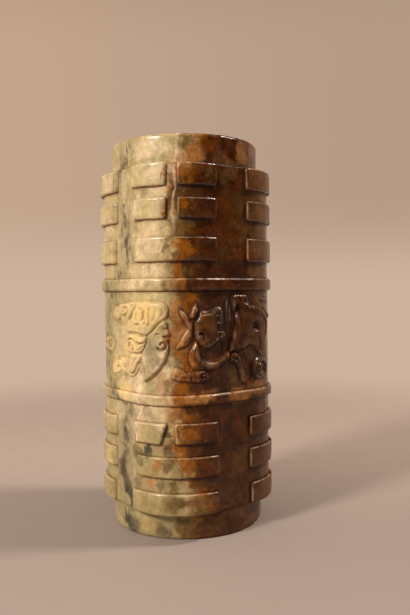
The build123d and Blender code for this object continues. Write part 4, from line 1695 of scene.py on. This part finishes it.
class JadeCongFinishes(bpy.types.PropertyGroup):
    """Colours and polish of the stone."""

    celadon: stone_colour("Celadon", "Pale green body of the stone", (188, 171, 124))
    cream: stone_colour("Cream", "Lightest clouds of the pale side", (216, 193, 156))
    straw: stone_colour("Straw", "Yellowish clouds of the pale side", (224, 196, 134))
    moss: stone_colour("Moss", "Olive depths of the pale side", (150, 134, 88))
    olive: stone_colour("Olive", "Green brown patches of the corner", (104, 78, 38))
    slate: stone_colour("Slate", "Grey-green patches", (146, 133, 100))
    ink: stone_colour("Ink", "Dark grey-green vein and stains", (72, 65, 50))
    rose: stone_colour("Rose", "Pinkish stone beside the cracks", (176, 134, 98))
    tan: stone_colour("Tan", "Sandy stone beside the seam", (168, 116, 62))
    amber: stone_colour("Amber", "Warm seam where the pale and the dark side meet", (142, 82, 8))
    russet: stone_colour("Russet", "Clouds in the dark side", (104, 52, 8))
    chocolate: stone_colour("Chocolate", "Body of the dark side", (60, 26, 3))
    khaki: stone_colour("Khaki", "Greyer brown of the right", (126, 88, 50))
    calcite: stone_colour("Calcite", "Pinkish white veins and worn edges", (226, 196, 168))
    roughness: FloatProperty(
        name="Roughness", description="Dullness of the polish", default=0.2, min=0.05, max=1,
    )
    # Strength of the soiling and painted shade in the carving's creases and under the bars
    dirt_and_shade_strength: FloatProperty(
        name="Grime", description="How dark the dirt in the carving is", default=0.85, min=0, max=1,
    )
    # How pale the rubbed edges are, which also carry a painted highlight
    wear_and_highlight_share: FloatProperty(
        name="Wear", description="How pale the worn edges are", default=0.5, min=0, max=1,
    )


class JADE_OT_collars(bpy.types.Operator):
    """Spin the round collars at the foot and the mouth"""

    bl_idname = "jade.collars"
    bl_label = "Collars"

    def execute(self, context):
        carve_collar("bottom_collar", rim_up=False)
        carve_collar("top_collar", rim_up=True)
        return {"FINISHED"}


class JADE_OT_grounds(bpy.types.Operator):
    """Roll the grounds of the two tiers and of the frieze"""

    bl_idname = "jade.grounds"
    bl_label = "Grounds"

    def execute(self, context):
        carve_tier("lower_tier", "lower")
        carve_tier("upper_tier", "upper")
        carve_frieze_ground()
        return {"FINISHED"}


class JADE_OT_bands(bpy.types.Operator):
    """Roll the raised bands above and below the frieze"""

    bl_idname = "jade.bands"
    bl_label = "Bands"

    def execute(self, context):
        carve_band("lower_band", 0.25)
        carve_band("upper_band", 0.3)
        return {"FINISHED"}


class JADE_OT_bars(bpy.types.Operator):
    """Cut the trigram bars round the corners"""

    bl_idname = "jade.bars"
    bl_label = "Trigram bars"

    def execute(self, context):
        for tier in ("upper", "lower"):
            for bar in tier_bars(tier):
                carve_bar(bar)
        return {"FINISHED"}


class JADE_OT_dragons(bpy.types.Operator):
    """Carve the dragons of the four faces"""

    bl_idname = "jade.dragons"
    bl_label = "Dragons"

    def execute(self, context):
        for face, carving in face_carvings.items():
            for part in carving:
                carve_dragon_part(face, part)
        return {"FINISHED"}


class JADE_OT_stage(bpy.types.Operator):
    """Set the table, the backdrop, the lamps and the camera"""

    bl_idname = "jade.stage"
    bl_label = "Stage"

    def execute(self, context):
        set_stage()
        set_camera()
        return {"FINISHED"}


class JADE_PT_panel(bpy.types.Panel):
    """Sizes, finishes and steps of the jade cong"""

    bl_label = "Jade Cong"
    bl_idname = "JADE_PT_panel"
    bl_space_type = "VIEW_3D"
    bl_region_type = "UI"
    bl_category = "Jade Cong"

    def draw(self, context):
        layout = self.layout
        for group in (context.scene.jade_cong_sizes, context.scene.jade_cong_finishes):
            for name in group.__annotations__:
                layout.prop(group, name)
        for operator in operators:
            layout.operator(operator.bl_idname)


operators = (
    JADE_OT_collars,
    JADE_OT_grounds,
    JADE_OT_bands,
    JADE_OT_bars,
    JADE_OT_dragons,
    JADE_OT_stage,
)
classes = (JadeCongSizes, JadeCongFinishes, *operators, JADE_PT_panel)

# The camera as fitted to the photograph, turned to look at the corner that faces it. Lengths are
# in metres, turns in radians and the lens in mm
camera_turn = math.radians(-35.38)
camera_distance = 0.359638
camera_height = 0.123241
camera_pitch = 0.0269487
camera_roll = -0.0111429
camera_pan = 0.0292371
camera_lens = 38.34


def set_camera():
    """The camera at the photograph's viewing angle."""
    forward = Vector((
        math.sin(camera_pan) * math.cos(camera_pitch),
        math.cos(camera_pan) * math.cos(camera_pitch),
        -math.sin(camera_pitch),
    ))
    level = Vector((math.cos(camera_pan), -math.sin(camera_pan), 0))
    upright = level.cross(forward)
    right = math.cos(camera_roll) * level + math.sin(camera_roll) * upright
    up = math.cos(camera_roll) * upright - math.sin(camera_roll) * level
    pose = Matrix((right, up, -forward)).transposed().to_4x4()
    pose.translation = Vector((0, -camera_distance, camera_height))
    data = bpy.data.cameras.new("camera")
    data.lens = camera_lens
    camera = bpy.data.objects.new("camera", data)
    camera.matrix_world = Matrix.Rotation(camera_turn, 4, "Z") @ pose
    bpy.context.scene.collection.objects.link(camera)
    bpy.context.scene.camera = camera


def stage_place(right, away, up):
    """A place on the stage: to the camera's right, away from it past the object, and up."""
    return Matrix.Rotation(camera_turn, 4, "Z") @ Vector((right, away, up))


def set_stage():
    """A plain pale table that melts into a plain backdrop, and soft studio lamps."""
    bm = bmesh.new()
    bmesh.ops.create_grid(bm, x_segments=2, y_segments=2, size=4)
    table = bpy.data.objects.new("table", mesh_from(bm, "table"))
    bpy.context.scene.collection.objects.link(table)
    table.data.materials.append(table_finish())
    light_room()
    bpy.context.scene.view_settings.view_transform = "Standard"
    for lamp in lamps:
        add_lamp(*lamp)


# Lamps: name, direction on the stage, distance in metres, watts, size in metres and sRGB colour
lamps = (
    ("key", (-0.755, -0.656, 0.6), 1.15, 12.6, 0.2, (255, 244, 231)),
    ("side", (0.66, 0.0, 0.8), 1.15, 9.3, 0.16, (255, 240, 226)),
)

# Colours of the stage, in sRGB of 0 to 255
backdrop_low = (205, 178, 156)
backdrop_middle = (196, 165, 141)
backdrop_high = (183, 151, 127)
backdrop_shade = (160, 140, 124)
# The paper is painted darker in front of the stone and lighter behind it, as a painted fall of light
table_front_shaded = (151, 138, 131)
table_back_lit = (172, 155, 144)
table_fleck = (143, 127, 117)
dim_room = (46, 38, 32)
room_light = (255, 238, 222)


def table_finish():
    """Matt pale paper near the stone. Further off the eye sees the backdrop's own tone."""
    material = empty_material("table")
    make = Shading(material.node_tree)
    place = make.node("ShaderNodeTexCoord").outputs["Object"]
    away = make.vector("LENGTH", place)
    stretch = make.ramp(away, 0.27, 0.62)
    seen = make.node("ShaderNodeLightPath")
    eye = make.larger(seen.outputs["Is Camera Ray"], seen.outputs["Is Glossy Ray"])
    paper = make.noise(place, 60, 4, 0.6)
    behind = make.vector("DOT_PRODUCT", place, stage_place(0, 1, 0))
    # Painted fall of light: darker paper in front of the stone, lighter behind it
    colour = make.mix(make.ramp(behind, -0.06, 0.16), linear(table_front_shaded), linear(table_back_lit))
    colour = make.mix(make.ramp(paper, 0.3, 0.7, 0, 0.12), colour, linear(table_fleck))
    near = make.node("ShaderNodeBsdfPrincipled", {"Base Color": colour, "Roughness": 0.75})
    far = make.node("ShaderNodeEmission", {"Color": linear(backdrop_low), "Strength": 1.0})
    make.show(make.times(stretch, eye), near, far, "ShaderNodeOutputMaterial")
    return material


def light_room():
    """Even warm light from the room. What the eye sees of it is the backdrop."""
    world = bpy.data.worlds.new("room")
    bpy.context.scene.world = world
    world.use_nodes = True
    world.node_tree.nodes.clear()
    make = Shading(world.node_tree)
    place = make.node("ShaderNodeTexCoord").outputs["Generated"]
    up = make.node("ShaderNodeSeparateXYZ", {"Vector": place}).outputs[2]
    # Painted shade on the backdrop: lightest at the horizon, darker towards the top and, above the
    # horizon, to the right
    colour = make.mix(make.ramp(up, 0.0, 0.14), linear(backdrop_low), linear(backdrop_middle))
    colour = make.mix(make.ramp(up, 0.33, 0.47), colour, linear(backdrop_high))
    rightwards = make.vector("DOT_PRODUCT", place, stage_place(1, 0, 0))
    shaded = make.ramp(rightwards, -0.3, 0.3, 0, 0.45)
    shaded = make.times(shaded, make.ramp(up, 0.0, 0.14))
    colour = make.mix(shaded, colour, linear(backdrop_shade))
    # The room overhead and behind the camera is dim, so the polish mirrors little of it
    towards_wall = make.vector("DOT_PRODUCT", place, stage_place(0, 1, 0))
    lit = make.times(make.ramp(towards_wall, -0.2, 0.7), make.ramp(up, 0.75, 0.35))
    mirrored = make.mix(lit, linear(dim_room), colour)
    seen = make.node("ShaderNodeLightPath")
    bent = make.larger(seen.outputs["Is Glossy Ray"], seen.outputs["Is Transmission Ray"])
    wall_colour = make.mix(bent, colour, mirrored)
    eye = make.larger(seen.outputs["Is Camera Ray"], bent)
    leftwards = make.vector("DOT_PRODUCT", place, stage_place(-1, 0, 0))
    fill = make.ramp(leftwards, -0.2, 0.9, 0.75, 2.1)
    strength = make.times(make.ramp(up, -0.1, 0.8, 0.16, 0.5), fill)
    glow = make.node("ShaderNodeBackground", {"Color": linear(room_light), "Strength": strength})
    wall = make.node("ShaderNodeBackground", {"Color": wall_colour, "Strength": 1.0})
    make.show(eye, glow, wall, "ShaderNodeOutputWorld")


def add_lamp(name, direction, distance, power, size, colour):
    """A square soft lamp aimed at the stone's middle."""
    data = bpy.data.lights.new(name, "AREA")
    data.energy = power
    data.size = size
    data.color = linear(colour)[:3]
    lamp = bpy.data.objects.new(name, data)
    middle = Vector((0, 0, 0.1))
    away = stage_place(*direction).normalized() * distance
    lamp.location = middle + away
    lamp.rotation_euler = (-away).to_track_quat("-Z", "Y").to_euler()
    bpy.context.scene.collection.objects.link(lamp)


def register():
    """Make the add-on's classes and settings known to Blender."""
    for group in classes:
        bpy.utils.register_class(group)
    bpy.types.Scene.jade_cong_sizes = PointerProperty(type=JadeCongSizes)
    bpy.types.Scene.jade_cong_finishes = PointerProperty(type=JadeCongFinishes)


def unregister():
    """Take the add-on's classes and settings out of Blender."""
    del bpy.types.Scene.jade_cong_sizes
    del bpy.types.Scene.jade_cong_finishes
    for group in reversed(classes):
        bpy.utils.unregister_class(group)


def main():
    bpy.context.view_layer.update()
    register()
    for operator in operators:
        group, action = operator.bl_idname.split(".")
        getattr(getattr(bpy.ops, group), action)()


if __name__ == "__main__":
    main()
